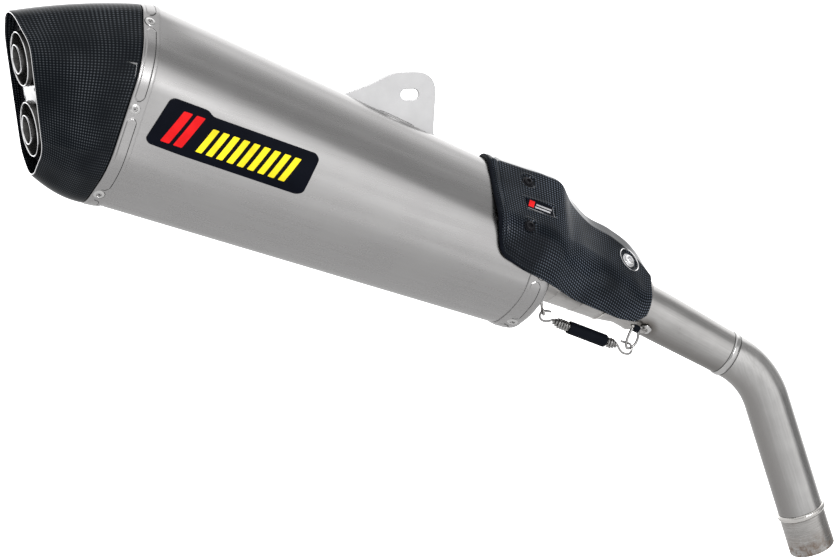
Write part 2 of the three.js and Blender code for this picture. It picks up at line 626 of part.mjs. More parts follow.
// ---------- hanger ----------
// The bracket's plate stands over the sleeve at this lateral distance.
const BRACKET_Y = -MUFFLER_ORIGIN[1];
const FOOT_THICKNESS = 2;
const onSleeveTop = (x) => new THREE.Vector3(x, BRACKET_Y, topAt(x, BRACKET_Y))
  .applyEuler(new THREE.Euler(0, radians(MUFFLER_PITCH), 0)).add(new THREE.Vector3(...MUFFLER_ORIGIN));

function hangerBracket() {
  const [back, front] = [onSleeveTop(220), onSleeveTop(340)];
  const base = (x) => lerp(back.z, front.z, (x - back.x) / (front.x - back.x)) + FOOT_THICKNESS + 2.2;
  const shape = new THREE.Shape();
  shape.moveTo(-70, base(-70));
  shape.quadraticCurveTo(-50, 6.6, -33.5, 13.2);
  shape.quadraticCurveTo(-20, 21.2, -8, 21.4);
  shape.lineTo(7, 21.4);
  shape.quadraticCurveTo(26, 20.2, 26.4, 2);
  shape.lineTo(24, -36);
  shape.quadraticCurveTo(25, base(34) + 5, 34, base(34));
  shape.lineTo(8, base(8));
  shape.quadraticCurveTo(2.5, base(2.5) + 5, -6, base(-6) + 5);
  shape.lineTo(-37, base(-37) + 5);
  shape.quadraticCurveTo(-46, base(-46) + 5, -50, base(-50));
  shape.closePath();
  const [half, radius] = [(SLOT.length - SLOT.height) / 2, SLOT.height / 2];
  const slot = new THREE.Path();
  slot.absarc(half, 0, radius, -Math.PI / 2, Math.PI / 2, false);
  slot.absarc(-half, 0, radius, Math.PI / 2, 1.5 * Math.PI, false);
  shape.holes.push(slot);
  const plate = new THREE.ExtrudeGeometry(shape, { depth: PLATE, bevelEnabled: false, curveSegments: 8 })
    .rotateX(Math.PI / 2).translate(0, PLATE / 2, 0);
  piece("hanger_bracket", plate, titanium, group);
}

// A strip along the sleeve under the bracket, welded to both.
function hangerFoot() {
  const xs = [216, 280, 340];
  const ys = [8, 11, 14, 18, 22];
  const grid = (by) => xs.map((x) => ys.map((y) => new THREE.Vector3(x, y, topAt(x, y, 0.5) + by)));
  piece("hanger_foot", sheet(grid(FOOT_THICKNESS), grid(0.3)), titanium, muffler);
}

// ---------- heat shield ----------
// Stations along the sleeve: x, then corners [lateral, height, radius] from the far edge over the top to the lower edge.
const SHIELD_STATIONS = [
  { x: 376, lean: 13, corners: [[-20, 76], [-8, 84, 12], [12.5, 80.6, 5], [69, 26, 34], [68, -0.5]] },
  { x: 394, lean: 12, corners: [[-20, 76], [-8, 84, 12], [12.5, 80.4, 5], [70, 25, 34], [68.5, -9.5]] },
  { x: 414, lean: 8, corners: [[-20, 75.5], [-8, 83.6, 12], [12.5, 80, 5], [70, 24, 34], [69, -15]] },
  { x: 436, lean: 4, corners: [[-20, 75], [-8, 83.2, 12], [12.5, 79.6, 5], [70, 22, 34], [68.5, -18]] },
  { x: 455, lean: 0, corners: [[-20, 72], [-8, 80.4, 12], [12.5, 75.4, 5], [68, 17, 36], [66, -21.5]] },
  { x: 466, lean: 0, corners: [[-20, 64], [-8, 73, 12], [12.5, 63.4, 5], [65, 14, 38], [61, -24]] },
  { x: 481, lean: 0, corners: [[-20, 54], [-8, 63.4, 12], [12.5, 52, 5], [61, 10.6, 38], [54, -27]] },
  { x: 488, lean: 0, corners: [[-20, 49], [-8, 59, 12], [12.5, 48, 5], [60.6, 10.8, 37], [50.5, -27.6]] },
  { x: 493, lean: 0, corners: [[-20, 47], [-8, 57, 12], [12.5, 48.6, 5], [57.4, 7, 36], [48.2, -27.9]] },
  { x: 519, lean: 0, corners: [[-20, 42], [-8, 52.4, 12], [12.5, 41.6, 5], [52, 2, 34], [41, -30]] },
  { x: 546, lean: 0, corners: [[-18, 33], [-8, 42.2, 10], [12, 30.8, 5], [45, -4, 28], [33, -31]] },
  { x: 562, lean: 0, corners: [[-17, 20], [-7, 29.5, 9], [12, 21.5, 5], [39, -9, 22], [30, -27]] },
  { x: 568, lean: 0, corners: [[-15, 12], [-6, 22.6, 8], [12, 17.6, 4], [36.4, -8, 18], [30, -21]] },
];
const SHIELD_STEPS = 4;

// One station's line of points; the corners between its two ends are rounded.
function shieldLine({ x, lean, corners }) {
  const [first, last] = [corners[0], corners.at(-1)];
  const turns = corners.length - 2;
  const steps = [1, ...Array(turns).fill(SHIELD_STEPS), 1];
  const arcs = rounded(corners.map(([y, z, radius = 0.5]) => [y, z, radius]), steps);
  const middle = arcs.slice(2, 2 + turns * (SHIELD_STEPS + 1));
  const line = [first.slice(0, 2), ...middle, last.slice(0, 2)];
  return line.map(([y, z], i) => new THREE.Vector3(x + lean * (i / (line.length - 1)) ** 2, NEAR * y, z));
}

// The same grid moved along its normals.
function thickened(grid, by) {
  return grid.map((line, r) => line.map((point, c) => {
    const row = (k) => grid[THREE.MathUtils.clamp(k, 0, grid.length - 1)][c];
    const column = (k) => grid[r][THREE.MathUtils.clamp(k, 0, line.length - 1)];
    const along = row(r + 1).clone().sub(row(r - 1));
    const across = column(c + 1).clone().sub(column(c - 1));
    return point.clone().addScaledVector(along.cross(across).normalize(), by);
  }));
}

const shieldGrid = SHIELD_STATIONS.map(shieldLine);

function heatShield() {
  piece("heat_shield", cut(sheet(shieldGrid, thickened(shieldGrid, CARBON)), shieldHoles()), carbon, muffler);
  // The rubber trim lies between the shield's back edge and the sleeve.
  const under = thickened(shieldGrid, CARBON + GAP)[0];
  const rings = under.map((point, i) => {
    const inwards = point.clone().sub(shieldGrid[0][i]).setX(0).normalize();
    let depth = 2.4;
    const low = () => point.clone().addScaledVector(inwards, depth);
    while (depth > 0.5 && !clearOfSleeve(low(), 2.8)) depth -= 0.1;
    return [[point, -5], [point, 2], [low(), 2], [low(), -5]].map(([p, x]) => p.clone().add(new THREE.Vector3(x, 0, 0)));
  });
  piece("heat_shield_trim", loft(rings), rubber, muffler);
}

// A place on the shield's near side and the direction out of it, found along a line across the motorcycle.
function onShield(x, z) {
  const skin = new THREE.Mesh(sheet(shieldGrid, thickened(shieldGrid, CARBON)));
  skin.material.side = THREE.DoubleSide;
  const ray = new THREE.Raycaster(new THREE.Vector3(x, NEAR * 300, z), new THREE.Vector3(0, -NEAR, 0));
  const [hit] = ray.intersectObject(skin);
  const out = hit.face.normal.clone();
  return { place: hit.point, out: out.y * NEAR > 0 ? out : out.negate() };
}

const SHIELD_SCREWS = [
  { name: "upper", x: 415, z: 69, head: 5.2, reach: 5.5 },
  { name: "lower", x: 414, z: 28, head: 5.2, reach: 6 },
  { name: "front", x: 537, z: 26, head: 6, reach: 4.6 },
];
const shieldHoles = () => SHIELD_SCREWS.map(({ x, z }) => {
  const { place, out } = onShield(x, z);
  return aim(turnedSolid([[0, -12], [3.4, -12], [3.4, 12], [0, 12]], 10), out, place);
});

function shieldScrews() {
  for (const { name, x, z, head, reach } of SHIELD_SCREWS) {
    const { place, out } = onShield(x, z);
    const look = name === "front" ? polished : blackSteel;
    const screw = turnedSolid([
      [0, 3.6], [head - 1.6, 3.6], [head, 1.6], [head, 0.6], [2.9, 0.6], [2.9, -5], [0, -5],
    ], 12);
    piece(`shield_screw_${name}`, aim(screw, out, place), look, muffler);
    const standoff = turned([[3.2, -CARBON - 1.2], [6, -CARBON - 1.2], [6, -reach], [3.2, -reach]], 12);
    piece(`shield_standoff_${name}`, aim(standoff, out, place), stainless, muffler);
  }
}

// ---------- blank badges ----------
// A thin plate over the sleeve's near side: an outline of [x, z] laid on the side's slope.
function plateOn(outline, depthAt, thickness) {
  const contour = outline.map(([x, z]) => new THREE.Vector2(x, z));
  const faces = THREE.ShapeUtils.triangulateShape(contour, []);
  const count = contour.length;
  const points = [0, thickness].flatMap((out) =>
    contour.map(({ x, y: z }) => new THREE.Vector3(x, NEAR * (depthAt(x, z) + out), z)));
  const index = faces.flatMap(([a, b, c]) => [a, b, c, count + a, count + c, count + b]);
  for (let i = 0; i < count; i++) {
    const j = (i + 1) % count;
    index.push(i, j, count + i, j, count + j, count + i);
  }
  return fromPoints(points, index);
}

function badges() {
  const outline = [
    [38, 45], [76, 43], [82, 38.5], [189, 34], [193.5, 29.5], [187.5, -5], [181, -8], [62, -4.5], [30, -2.5], [26, 1.5],
  ];
  piece("sleeve_badge", plateOn(outline, (x, z) => sideAt(x, z, 1.2), 1), badgeBlack, muffler);
  const small = [[409, 53], [438, 53], [442, 43], [412, 43]];
  piece("shield_badge", plateOn(small, (x, z) => -onShield(x, z).place.y + 1.2, 1), badgeBlack, muffler);
}

// ---------- assembly ----------
outerSleeve();
rearBand();
frontEndCap();
rivets("rear_rivet", rearRivets);
rivets("front_rivet", frontRivets);
endCapShell();
endCapFace();
outlets();
outletBridge();
rearBulkhead();
perforatedCore();
packing();
inletCone();
inletSocket();
linkPipe();
retainingSpring();
hangerBracket();
hangerFoot();
heatShield();
shieldScrews();
badges();

export default group;
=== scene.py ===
import math

import bmesh
import bpy
import numpy as np
from mathutils import Matrix, Vector


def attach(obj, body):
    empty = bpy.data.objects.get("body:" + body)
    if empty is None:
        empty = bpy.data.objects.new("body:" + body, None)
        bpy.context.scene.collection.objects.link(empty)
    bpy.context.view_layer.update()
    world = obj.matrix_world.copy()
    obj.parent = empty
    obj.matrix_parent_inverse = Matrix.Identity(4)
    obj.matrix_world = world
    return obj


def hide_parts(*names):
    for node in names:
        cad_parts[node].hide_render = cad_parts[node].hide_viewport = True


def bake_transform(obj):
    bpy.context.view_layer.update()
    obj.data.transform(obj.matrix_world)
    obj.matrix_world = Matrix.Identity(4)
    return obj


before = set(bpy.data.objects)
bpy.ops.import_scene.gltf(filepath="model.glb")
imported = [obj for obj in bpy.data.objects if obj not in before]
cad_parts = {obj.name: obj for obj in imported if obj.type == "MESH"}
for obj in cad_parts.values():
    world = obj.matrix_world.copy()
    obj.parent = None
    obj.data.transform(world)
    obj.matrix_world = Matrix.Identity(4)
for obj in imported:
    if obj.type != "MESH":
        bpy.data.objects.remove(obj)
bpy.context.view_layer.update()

# ---------- driving dimensions ----------
MM = 0.001
NEAR = -1  # the side that faces away from the motorcycle

MUFFLER_PITCH = 17.4
PIPE_PITCH = 28.4
RIM_TILT = -25.4


def turn_y(degrees):
    return Matrix.Rotation(math.radians(degrees), 4, "Y")


WORLD = Matrix()
MUFFLER = Matrix.Translation((-309.5, -14, -24.6)) @ turn_y(MUFFLER_PITCH)
RIM = MUFFLER @ Matrix.Translation((-99.3, 0, 37.5)) @ turn_y(RIM_TILT)
LINK = Matrix.Translation((123.8, -14, -150)) @ turn_y(PIPE_PITCH)

SLEEVE_LENGTH = 451
BAND_WIDTH = 17.5
SKIRT_BACK = 428
SHEET = 1.2
REAR_OUTLINE = [(0, 131, 27), (61, 71.5, 60), (50.5, -36, 50), (0, -82, 31)]
FOLD_OUTLINE = [(0, 136.3, 27), (61, 69.8, 60), (50.8, -36, 50), (0, -79.7, 31)]
FRONT_OUTLINE = [(0, 79, 25), (62.5, 15.4, 40), (62.5, -38, 28), (0, -77, 45)]
RIM_OUTLINE = [(0, 57, 29), (40.5, 16.5, 25), (36, -86, 22), (0, -114, 22)]
RIM_PLACE = (-99.3, 37.5)
RIM_PLAN_RADIUS = 190
CAP_SKIN = 1.1  # the cap stands this far outside the sleeve's outline
CARBON = 2.2

OUTLET_HEIGHTS = {"upper": 0, "lower": -66.3}
OUTLET_RADIUS = 26
INSERT_RADIUS = 14
FACE_DEPTH = 11
TUBE_WALL = 1.5

CONE_RINGS = [(-2, 43), (30, 40.5), (58, 36.2), (84, 32.2)]
SOCKET_END = 120
SOCKET_RADIUS = 26.2
SLIP_RADIUS = 24.4
PIPE_RADIUS = 22.2
BEAD_AT = 223.6
BEND = {"start": 229.6, "radius": 88, "angle": 40.5, "aside": 13.9}
LOWER_LENGTH = 118.8
COLLAR_LENGTH = 38
COLLAR_RADIUS = 22.4


# ---------- meshes ----------
def clean(mesh, weld):
    """Faces outwards, and doubled points joined where the mesh has no texture coordinates to lose."""
    bm = bmesh.new()
    bm.from_mesh(mesh)
    if weld:
        bmesh.ops.remove_doubles(bm, verts=bm.verts, dist=2e-7)
    bmesh.ops.recalc_face_normals(bm, faces=bm.faces)
    bm.to_mesh(mesh)
    bm.free()


def piece(name, points, faces, look, body="muffler", place=MUFFLER, stands_for=(), slot=None, sharp=32,
          weld=True):
    """An object from points in millimetres in one of the frames, on one of the bodies."""
    turn, move = np.array(place.to_3x3()), np.array(place.translation)
    at = (np.asarray(points, float) @ turn.T + move) * MM
    mesh = bpy.data.meshes.new(name)
    mesh.from_pydata(at.tolist(), [], [list(map(int, face)) for face in faces])
    clean(mesh, weld)
    mesh.shade_smooth()
    mesh.set_sharp_from_angle(angle=math.radians(sharp))
    obj = bpy.data.objects.new(name, mesh)
    bpy.context.scene.collection.objects.link(obj)
    for one in look if isinstance(look, (list, tuple)) else [look]:
        mesh.materials.append(one)
    if body:
        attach(obj, body)
    if stands_for:
        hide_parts(*stands_for)
    return obj


def lay_weave(mesh, at):
    """Texture coordinates in millimetres: at gives them for a face's corners, from its vertices."""
    layer = mesh.uv_layers.new(name="weave")
    for face in mesh.polygons:
        for loop, uv in zip(face.loop_indices, at(list(face.vertices))):
            layer.data[loop].uv = uv


def closed_weave(along, around):
    """The same for a closed loft, whose last row and column join the first."""
    rows, cols = len(along) - 1, len(around) - 1

    def at(vertices):
        places = [divmod(v, cols) for v in vertices]
        end_row = any(r == rows - 1 for r, _ in places)
        end_col = any(c == cols - 1 for _, c in places)
        return [(along[rows if r == 0 and end_row else r], around[cols if c == 0 and end_col else c])
                for r, c in places]
    return at


def grid_faces(rows, cols, wrap_rows=False, wrap_cols=True):
    r, c = np.meshgrid(
        np.arange(rows if wrap_rows else rows - 1), np.arange(cols if wrap_cols else cols - 1), indexing="ij")
    below, right = (r + 1) % rows, (c + 1) % cols
    corners = [r * cols + c, r * cols + right, below * cols + right, below * cols + c]
    return np.stack(corners, -1).reshape(-1, 4)


def full_turn(count):
    return np.linspace(0, 2 * np.pi, count, endpoint=False)


def ring_at(centre, radius, across, up, sides):
    """A circle of points round a centre, from the direction across towards the direction up."""
    angle = full_turn(sides)[:, None]
    return centre + radius * (np.cos(angle) * across + np.sin(angle) * up)


def capped_faces(rows, cols):
    """The faces of a tube of rings, closed at both ends."""
    last = (rows - 1) * cols
    return grid_faces(rows, cols).tolist() + [list(range(cols))[::-1], list(range(last, last + cols))]


def sheet(name, upper, lower, look, **options):
    """A thin solid between two grids of points, closed round its rim."""
    rows, cols = upper.shape[:2]
    count = rows * cols
    faces = grid_faces(rows, cols, wrap_cols=False)
    rim = [r * cols for r in range(rows)] + [(rows - 1) * cols + c for c in range(1, cols)]
    rim += [r * cols + cols - 1 for r in range(rows - 2, -1, -1)] + list(range(cols - 2, 0, -1))
    edges = [(a, b, b + count, a + count) for a, b in zip(rim, rim[1:] + rim[:1])]
    points = np.concatenate([upper.reshape(-1, 3), lower.reshape(-1, 3)])
    faces = faces.tolist() + (faces[:, ::-1] + count).tolist() + edges
    return piece(name, points, faces, look, **options)


def loft(name, rings, look, **options):
    """A closed skin through rings: forward along the outside, back along the inside."""
    rings = np.array(rings, float)
    faces = grid_faces(rings.shape[0], rings.shape[1], wrap_rows=True)
    return piece(name, rings.reshape(-1, 3), faces, look, **options)


def turned(name, profile, look, segments=64, ripple=None, **options):
    """A body turned about the x axis from a closed profile of (radius, x). ripple changes its radius."""
    profile = np.array(profile, float)
    angle = full_turn(segments)
    radius, along = profile[:, 0], profile[:, 1]
    grow = np.ones((len(profile), segments)) if ripple is None else ripple(profile, angle)
    points = np.stack([
        np.repeat(along[:, None], segments, 1),
        radius[:, None] * grow * np.cos(angle),
        radius[:, None] * grow * np.sin(angle)], -1)
    faces = grid_faces(len(profile), segments, wrap_rows=True)
    return piece(name, points.reshape(-1, 3), faces, look, **options)


def smooth_step(t):
    t = np.clip(t, 0, 1)
    return t * t * (3 - 2 * t)


def aimed(way, at, place=MUFFLER):
    """A frame whose x axis points along a direction at a place in another frame."""
    turn = Vector((1, 0, 0)).rotation_difference(Vector(way).normalized()).to_matrix().to_4x4()
    return place @ Matrix.Translation(Vector(at)) @ turn


def smooth_path(points, count):
    """Points evenly along a Catmull-Rom curve through the given ones."""
    p = np.array(points, float)
    p = np.vstack([2 * p[0] - p[1], p, 2 * p[-1] - p[-2]])
    out = []
    for i in range(1, len(p) - 2):
        t = np.linspace(0, 1, 24, endpoint=False)[:, None]
        m1, m2 = (p[i + 1] - p[i - 1]) / 2, (p[i + 2] - p[i]) / 2
        out.append((2 * t**3 - 3 * t**2 + 1) * p[i] + (t**3 - 2 * t**2 + t) * m1
                   + (3 * t**2 - 2 * t**3) * p[i + 1] + (t**3 - t**2) * m2)
    path = np.vstack(out + [p[-2:-1]])
    return resampled(path, count, closed=False)


def resampled(path, count, closed):
    path = np.vstack([path, path[:1]]) if closed else path
    length = np.concatenate([[0], np.cumsum(np.linalg.norm(np.diff(path, axis=0), axis=1))])
    at = np.linspace(0, length[-1], count, endpoint=not closed)
    return np.stack([np.interp(at, length, path[:, k]) for k in range(path.shape[1])], -1)


def rod(name, path, radius, look, sides=12, **options):
    """A round wire along a path, with rounded ends."""
    path = np.array(path, float)
    along = np.gradient(path, axis=0)
    along /= np.linalg.norm(along, axis=1)[:, None]
    across = np.cross(along[0], [0.3, 0.9, 0.2])
    rings = []
    for p, d in zip(path, along):
        across = across - d * np.dot(across, d)
        across /= np.linalg.norm(across)
        rings.append(ring_at(p, radius, across, np.cross(d, across), sides))
    for end, ring, d in ((0, rings[0], -along[0]), (-1, rings[-1], along[-1])):
        cap = [path[end] + (ring - path[end]) * k + d * radius * h for k, h in ((0.75, 0.5), (0.35, 0.75))]
        rings = cap[::-1] + rings if end == 0 else rings + cap
    return piece(name, np.array(rings).reshape(-1, 3), capped_faces(len(rings), sides), look, **options)


# ---------- rounded outlines ----------
def mirrored(half):
    top, upper, lower, bottom = half
    return [top, upper, lower, bottom, (-lower[0], *lower[1:]), (-upper[0], *upper[1:])]


def grown(corners, by):
    """Every side of a convex outline moved outwards."""
    corners = np.array(corners, float)
    ahead = np.roll(corners, -1, 0)
    side = ahead[:, :2] - corners[:, :2]
    normal = np.stack([-side[:, 1], side[:, 0]], -1) / np.linalg.norm(side, axis=1)[:, None]
    middle = corners[:, :2].mean(0)
    normal *= np.sign((normal * (corners[:, :2] - middle)).sum(1))[:, None]
    offset = (normal * corners[:, :2]).sum(1) + by
    out = []
    for i in range(len(corners)):
        rows = np.array([normal[i - 1], normal[i]])
        y, z = np.linalg.solve(rows, [offset[i - 1], offset[i]])
        out.append((y, z, max(corners[i, 2] + by, 1)))
    return out


def outline(half, by, count, crown=0.0):
    """Points [y, z] evenly round a rounded outline, from the middle of its top. Its sides may be crowned."""
    corners = grown(mirrored(half), by)
    arcs = []
    for i, (y, z, radius) in enumerate(corners):
        corner = np.array([y, z])
        before = np.array(corners[i - 1][:2]) - corner
        after = np.array(corners[(i + 1) % len(corners)][:2]) - corner
        before, after = before / np.linalg.norm(before), after / np.linalg.norm(after)
        half_angle = math.acos(np.clip(before @ after, -1, 1)) / 2
        inwards = (before + after) / np.linalg.norm(before + after)
        centre = corner + inwards * radius / math.sin(half_angle)
        start = corner + before * radius / math.tan(half_angle) - centre
        end = corner + after * radius / math.tan(half_angle) - centre
        sweep = np.linspace(0, math.atan2(start[0] * end[1] - start[1] * end[0], start @ end), 25)
        c, s = np.cos(sweep), np.sin(sweep)
        arcs.append(centre + np.column_stack([c * start[0] - s * start[1], s * start[0] + c * start[1]]))
    path = []
    middle = np.array([c[:2] for c in corners]).mean(0)
    for arc, following in zip(arcs, arcs[1:] + arcs[:1]):
        a, b = arc[-1], following[0]
        out = np.array([-(b - a)[1], (b - a)[0]]) / max(np.linalg.norm(b - a), 1e-9)
        out *= np.sign(out @ ((a + b) / 2 - middle))
        t = np.linspace(0, 1, 16)[1:-1, None]
        path += [arc, a + (b - a) * t + out * crown * 4 * t * (1 - t)]
    path = np.roll(np.vstack(path), -12, 0)
    if not crown:
        return resampled(path, count, closed=True)
    return resampled(softened(resampled(path, 720, closed=True)), count, closed=True)


def softened(path, reach=8):
    """A closed path averaged over a few neighbours, so that arcs and sides run into each other."""
    weights = np.exp(-0.5 * (np.arange(-reach, reach + 1) / (reach / 2)) ** 2)
    shifted = [np.roll(path, k, 0) * w for k, w in zip(range(-reach, reach + 1), weights / weights.sum())]
    return np.sum(shifted, 0)


def between(a, b, t):
    return [tuple(p + (q - p) * t for p, q in zip(one, other)) for one, other in zip(a, b)]


CROWN = 1.3  # how far the folded sides bulge in the middle of the sleeve


def sleeve_ring(x, by=0, count=240):
    """The sleeve's outline at a distance from its back edge: straight lines join its three outlines."""
    if x < BAND_WIDTH:
        a, b, t = REAR_OUTLINE, FOLD_OUTLINE, x / BAND_WIDTH
    else:
        a, b, t = FOLD_OUTLINE, FRONT_OUTLINE, (x - BAND_WIDTH) / (SLEEVE_LENGTH - BAND_WIDTH)
    crown = CROWN * min(max((x - BAND_WIDTH) / 40, 0), 1)
    yz = outline(a, by, count, crown) * (1 - t) + outline(b, by, count, crown) * t
    return np.column_stack([np.full(count, x), yz])


def side_of(x, z, by=0):
    """The sleeve's lateral half-width at a height, and the direction out of it."""
    ring = sleeve_ring(x, by)
    half = ring[ring[:, 1] >= 0]
    half = half[np.argsort(-half[:, 2])]
    i = int(np.searchsorted(-half[:, 2], -z))
    a, b = half[max(i - 1, 0)], half[min(i, len(half) - 1)]
    t = (a[2] - z) / max(a[2] - b[2], 1e-6)
    out = Vector((0, a[2] - b[2], b[1] - a[1])).normalized()
    return a[1] + (b[1] - a[1]) * t, out


# ---------- materials ----------
class Nodes:
    """A node tree, built with short calls."""

    def __init__(self, tree):
        self.tree = tree

    def node(self, kind, inputs=None, **settings):
        made = self.tree.nodes.new("ShaderNode" + kind)
        for key, value in settings.items():
            setattr(made, key, value)
        for key, value in (inputs or {}).items():
            self.feed(made.inputs[key], value)
        return made

    def feed(self, socket, value):
        if isinstance(value, bpy.types.NodeSocket):
            self.tree.links.new(value, socket)
        else:
            socket.default_value = value

    def coordinates(self, place, scale):
        """Object coordinates turned into one of the frames above, in millimetres times scale."""
        position = self.node("TexCoord").outputs["Object"]
        move, turn = place.inverted().translation * MM, place.inverted().to_euler()
        mapped = self.node("Mapping", {"Vector": position, "Location": move, "Rotation": turn})
        scale = tuple(s / MM for s in scale)
        return self.node("Mapping", {"Vector": mapped.outputs[0], "Scale": scale}).outputs[0]

    def noise(self, vector, scale=1.0, detail=4.0, roughness=0.6):
        inputs = {"Vector": vector, "Scale": scale, "Detail": detail, "Roughness": roughness}
        return self.node("TexNoise", inputs).outputs["Fac"]

    def ramp(self, factor, stops):
        made = self.node("ValToRGB", {"Fac": factor})
        elements = made.color_ramp.elements
        while len(elements) < len(stops):
            elements.new(0.5)
        for element, (at, colour) in zip(elements, stops):
            element.position = at
            element.color = (*colour, 1) if isinstance(colour, tuple) else (colour, colour, colour, 1)
        return made.outputs["Color"]

    def math(self, operation, a, b=0.0, c=0.0):
        made = self.node("Math", operation=operation)
        for socket, value in zip(made.inputs, (a, b, c)):
            self.feed(socket, value)
        return made.outputs[0]

    def share(self, value, low, high, **ends):
        """How far a value has come from low to high, with soft ends."""
        inputs = {"Value": value, "From Min": low, "From Max": high, **ends}
        return self.node("MapRange", inputs, interpolation_type="SMOOTHSTEP").outputs["Result"]

    def vector(self, operation, a, b=(0, 0, 0)):
        """A vector operation that gives one number."""
        return self.node("VectorMath", {0: a, 1: b}, operation=operation).outputs["Value"]

    def mixed(self, share, a, b):
        made = self.node("Mix", data_type="RGBA")
        self.feed(made.inputs[0], share)
        for socket, value in ((made.inputs[6], a), (made.inputs[7], b)):
            self.feed(socket, (*value, 1) if isinstance(value, tuple) else value)
        return made.outputs[2]

    def bump(self, height, strength, distance, under=None):
        inputs = {"Height": height, "Strength": strength, "Distance": distance * MM}
        if under is not None:
            inputs["Normal"] = under
        return self.node("Bump", inputs).outputs["Normal"]


class Look(Nodes):
    """A material with one Principled shader."""

    def __init__(self, name):
        self.material = bpy.data.materials.new(name)
        self.material.use_nodes = True
        super().__init__(self.material.node_tree)
        self.shader = self.tree.nodes["Principled BSDF"]

    def set(self, **values):
        for key, value in values.items():
            self.feed(self.shader.inputs[key.replace("_", " ")], value)


def satin_metal(name, place, dark, light, rough, grain=(0.02, 0.9, 0.9), blotches=0.02, shine=(0.05, 0.12),
                surface=0.05, dark_halos=(), underside_shade=None):
    """Brushed or satin sheet: fine grain along the frame's x axis, slow changes of tone, darker tone round
    some places, and painted shade that darkens the side that faces one way."""
    look = Look(name)
    lines = look.noise(look.coordinates(place, grain), detail=3)
    cloud = look.noise(look.coordinates(place, (blotches,) * 3), detail=3)
    speck = look.noise(look.coordinates(place, (1.2, 1.2, 1.2)), detail=1)
    tone = look.math("ADD", look.math("MULTIPLY", lines, 0.5), look.math("MULTIPLY", cloud, 0.5))
    colour = look.ramp(tone, [(0.35, dark), (0.65, light)])
    # Darker round some places: near each one the colour mixes towards a darker tint.
    for at, inner, outer, tint in dark_halos:
        apart = look.vector("DISTANCE", look.coordinates(place, (1, 1, 1)), at)
        colour = look.mixed(look.share(apart, outer, inner), colour, tint)
    # Painted shade: the side that faces the given way is mixed towards a darker colour, standing in for shade
    # there.
    if underside_shade:
        towards, tint = underside_shade
        normal = look.node("TexCoord").outputs["Normal"]
        facing = look.vector("DOT_PRODUCT", normal, tuple(Vector(towards).normalized()))
        colour = look.mixed(look.share(facing, 0.3, 1.0), colour, tint)
    look.set(
        Base_Color=colour,
        Metallic=1.0,
        Roughness=look.math("MULTIPLY_ADD", tone, shine[1], rough - shine[0]),
        Normal=look.bump(speck, surface, 0.05, look.bump(lines, 1.6 * surface, 0.05)),
    )
    return look.material


def polished_metal(name, colour, rough):
    look = Look(name)
    smear = look.noise(look.coordinates(MUFFLER, (0.15, 0.15, 0.15)))
    look.set(
        Base_Color=look.ramp(smear, [(0.3, tuple(0.92 * c for c in colour)), (0.7, colour)]),
        Metallic=1.0,
        Roughness=look.math("MULTIPLY_ADD", smear, 0.1, rough - 0.05),
        Normal=look.bump(smear, 0.08, 0.05),
    )
    return look.material


WEAVE_PITCH = 2.8  # between neighbouring raised tows, in millimetres
WEAVE_CELL = WEAVE_PITCH / math.sqrt(2)


def carbon_fibre(name, tow_highlight_colour, coat_ior):
    """A plain weave laid at 45 degrees under clear coat. A tow shows as a mound where it passes over, with a
    painted highlight.
    """
    look = Look(name)
    uv = look.node("UVMap", uv_map="weave").outputs[0]
    turned_uv = look.node("Mapping", {"Vector": uv, "Rotation": (0, 0, math.pi / 4)}).outputs[0]
    split = look.node("SeparateXYZ", {"Vector": turned_uv})
    u, v = (look.math("DIVIDE", split.outputs[k], WEAVE_CELL) for k in (0, 1))
    over = look.math("PINGPONG", look.math("ADD", look.math("FLOOR", u), look.math("FLOOR", v)), 1.0)
    mound = 1.0
    for value in (u, v):
        part = look.math("SUBTRACT", look.math("FRACT", value), 0.5)
        hump = look.math("SUBTRACT", 1.0, look.math("MULTIPLY", look.math("MULTIPLY", part, part), 4.0))
        mound = look.math("MULTIPLY", hump, mound)
    strands = look.node("Mapping", {"Vector": turned_uv, "Scale": (0.25, 6.0, 1.0)}).outputs[0]
    fibres = look.noise(strands, detail=2)
    cloud = look.noise(look.coordinates(MUFFLER, (0.018, 0.018, 0.018)), detail=2)
    # Painted highlight: the raised tows are lighter, standing in for the sheen along each tow over the
    # weave's real pattern.
    bright = look.math("MULTIPLY", over, look.math("POWER", mound, 1.3))
    bright = look.math("MULTIPLY", bright, look.math("MULTIPLY_ADD", fibres, 0.8, 0.5))
    patchy = look.math("MAXIMUM", look.math("MULTIPLY_ADD", cloud, 3.2, -0.85), 0.25)
    bright = look.math("MULTIPLY", bright, patchy)
    look.set(
        Base_Color=look.ramp(bright, [(0.0, (0.002, 0.0034, 0.0055)), (1.0, tow_highlight_colour)]),
        Roughness=0.5,
        Specular_IOR_Level=0.0,
        Coat_Weight=1.0,
        Coat_Roughness=0.04,
        Coat_IOR=coat_ior,
        Normal=look.bump(mound, 0.2, 0.1),
    )
    return look.material


def moulded(name, colour, rough, grain=0.8, depth=0.1, shine=0.05):
    """Rubber, paint or plastic with a fine surface and slightly uneven tone."""
    look = Look(name)
    fine = look.noise(look.coordinates(WORLD, (grain,) * 3), detail=5)
    slow = look.noise(look.coordinates(WORLD, (0.05,) * 3), detail=2)
    lighter = tuple(c * 1.5 + 0.0008 for c in colour)
    look.set(
        Base_Color=look.ramp(slow, [(0.3, colour), (0.75, lighter)]),
        Roughness=look.math("MULTIPLY_ADD", fine, 0.15, rough - 0.07),
        Normal=look.bump(fine, 0.2, depth),
        Specular_IOR_Level=shine,
    )
    return look.material


def glass_wool(name):
    look = Look(name)
    strands = look.noise(look.coordinates(WORLD, (0.2, 2.0, 2.0)), detail=8, roughness=0.8)
    look.set(
        Base_Color=look.ramp(strands, [(0.3, (0.62, 0.57, 0.44)), (0.7, (0.86, 0.83, 0.72))]),
        Roughness=0.95,
        Sheen_Weight=0.3,
        Normal=look.bump(strands, 0.7, 0.8),
    )
    return look.material


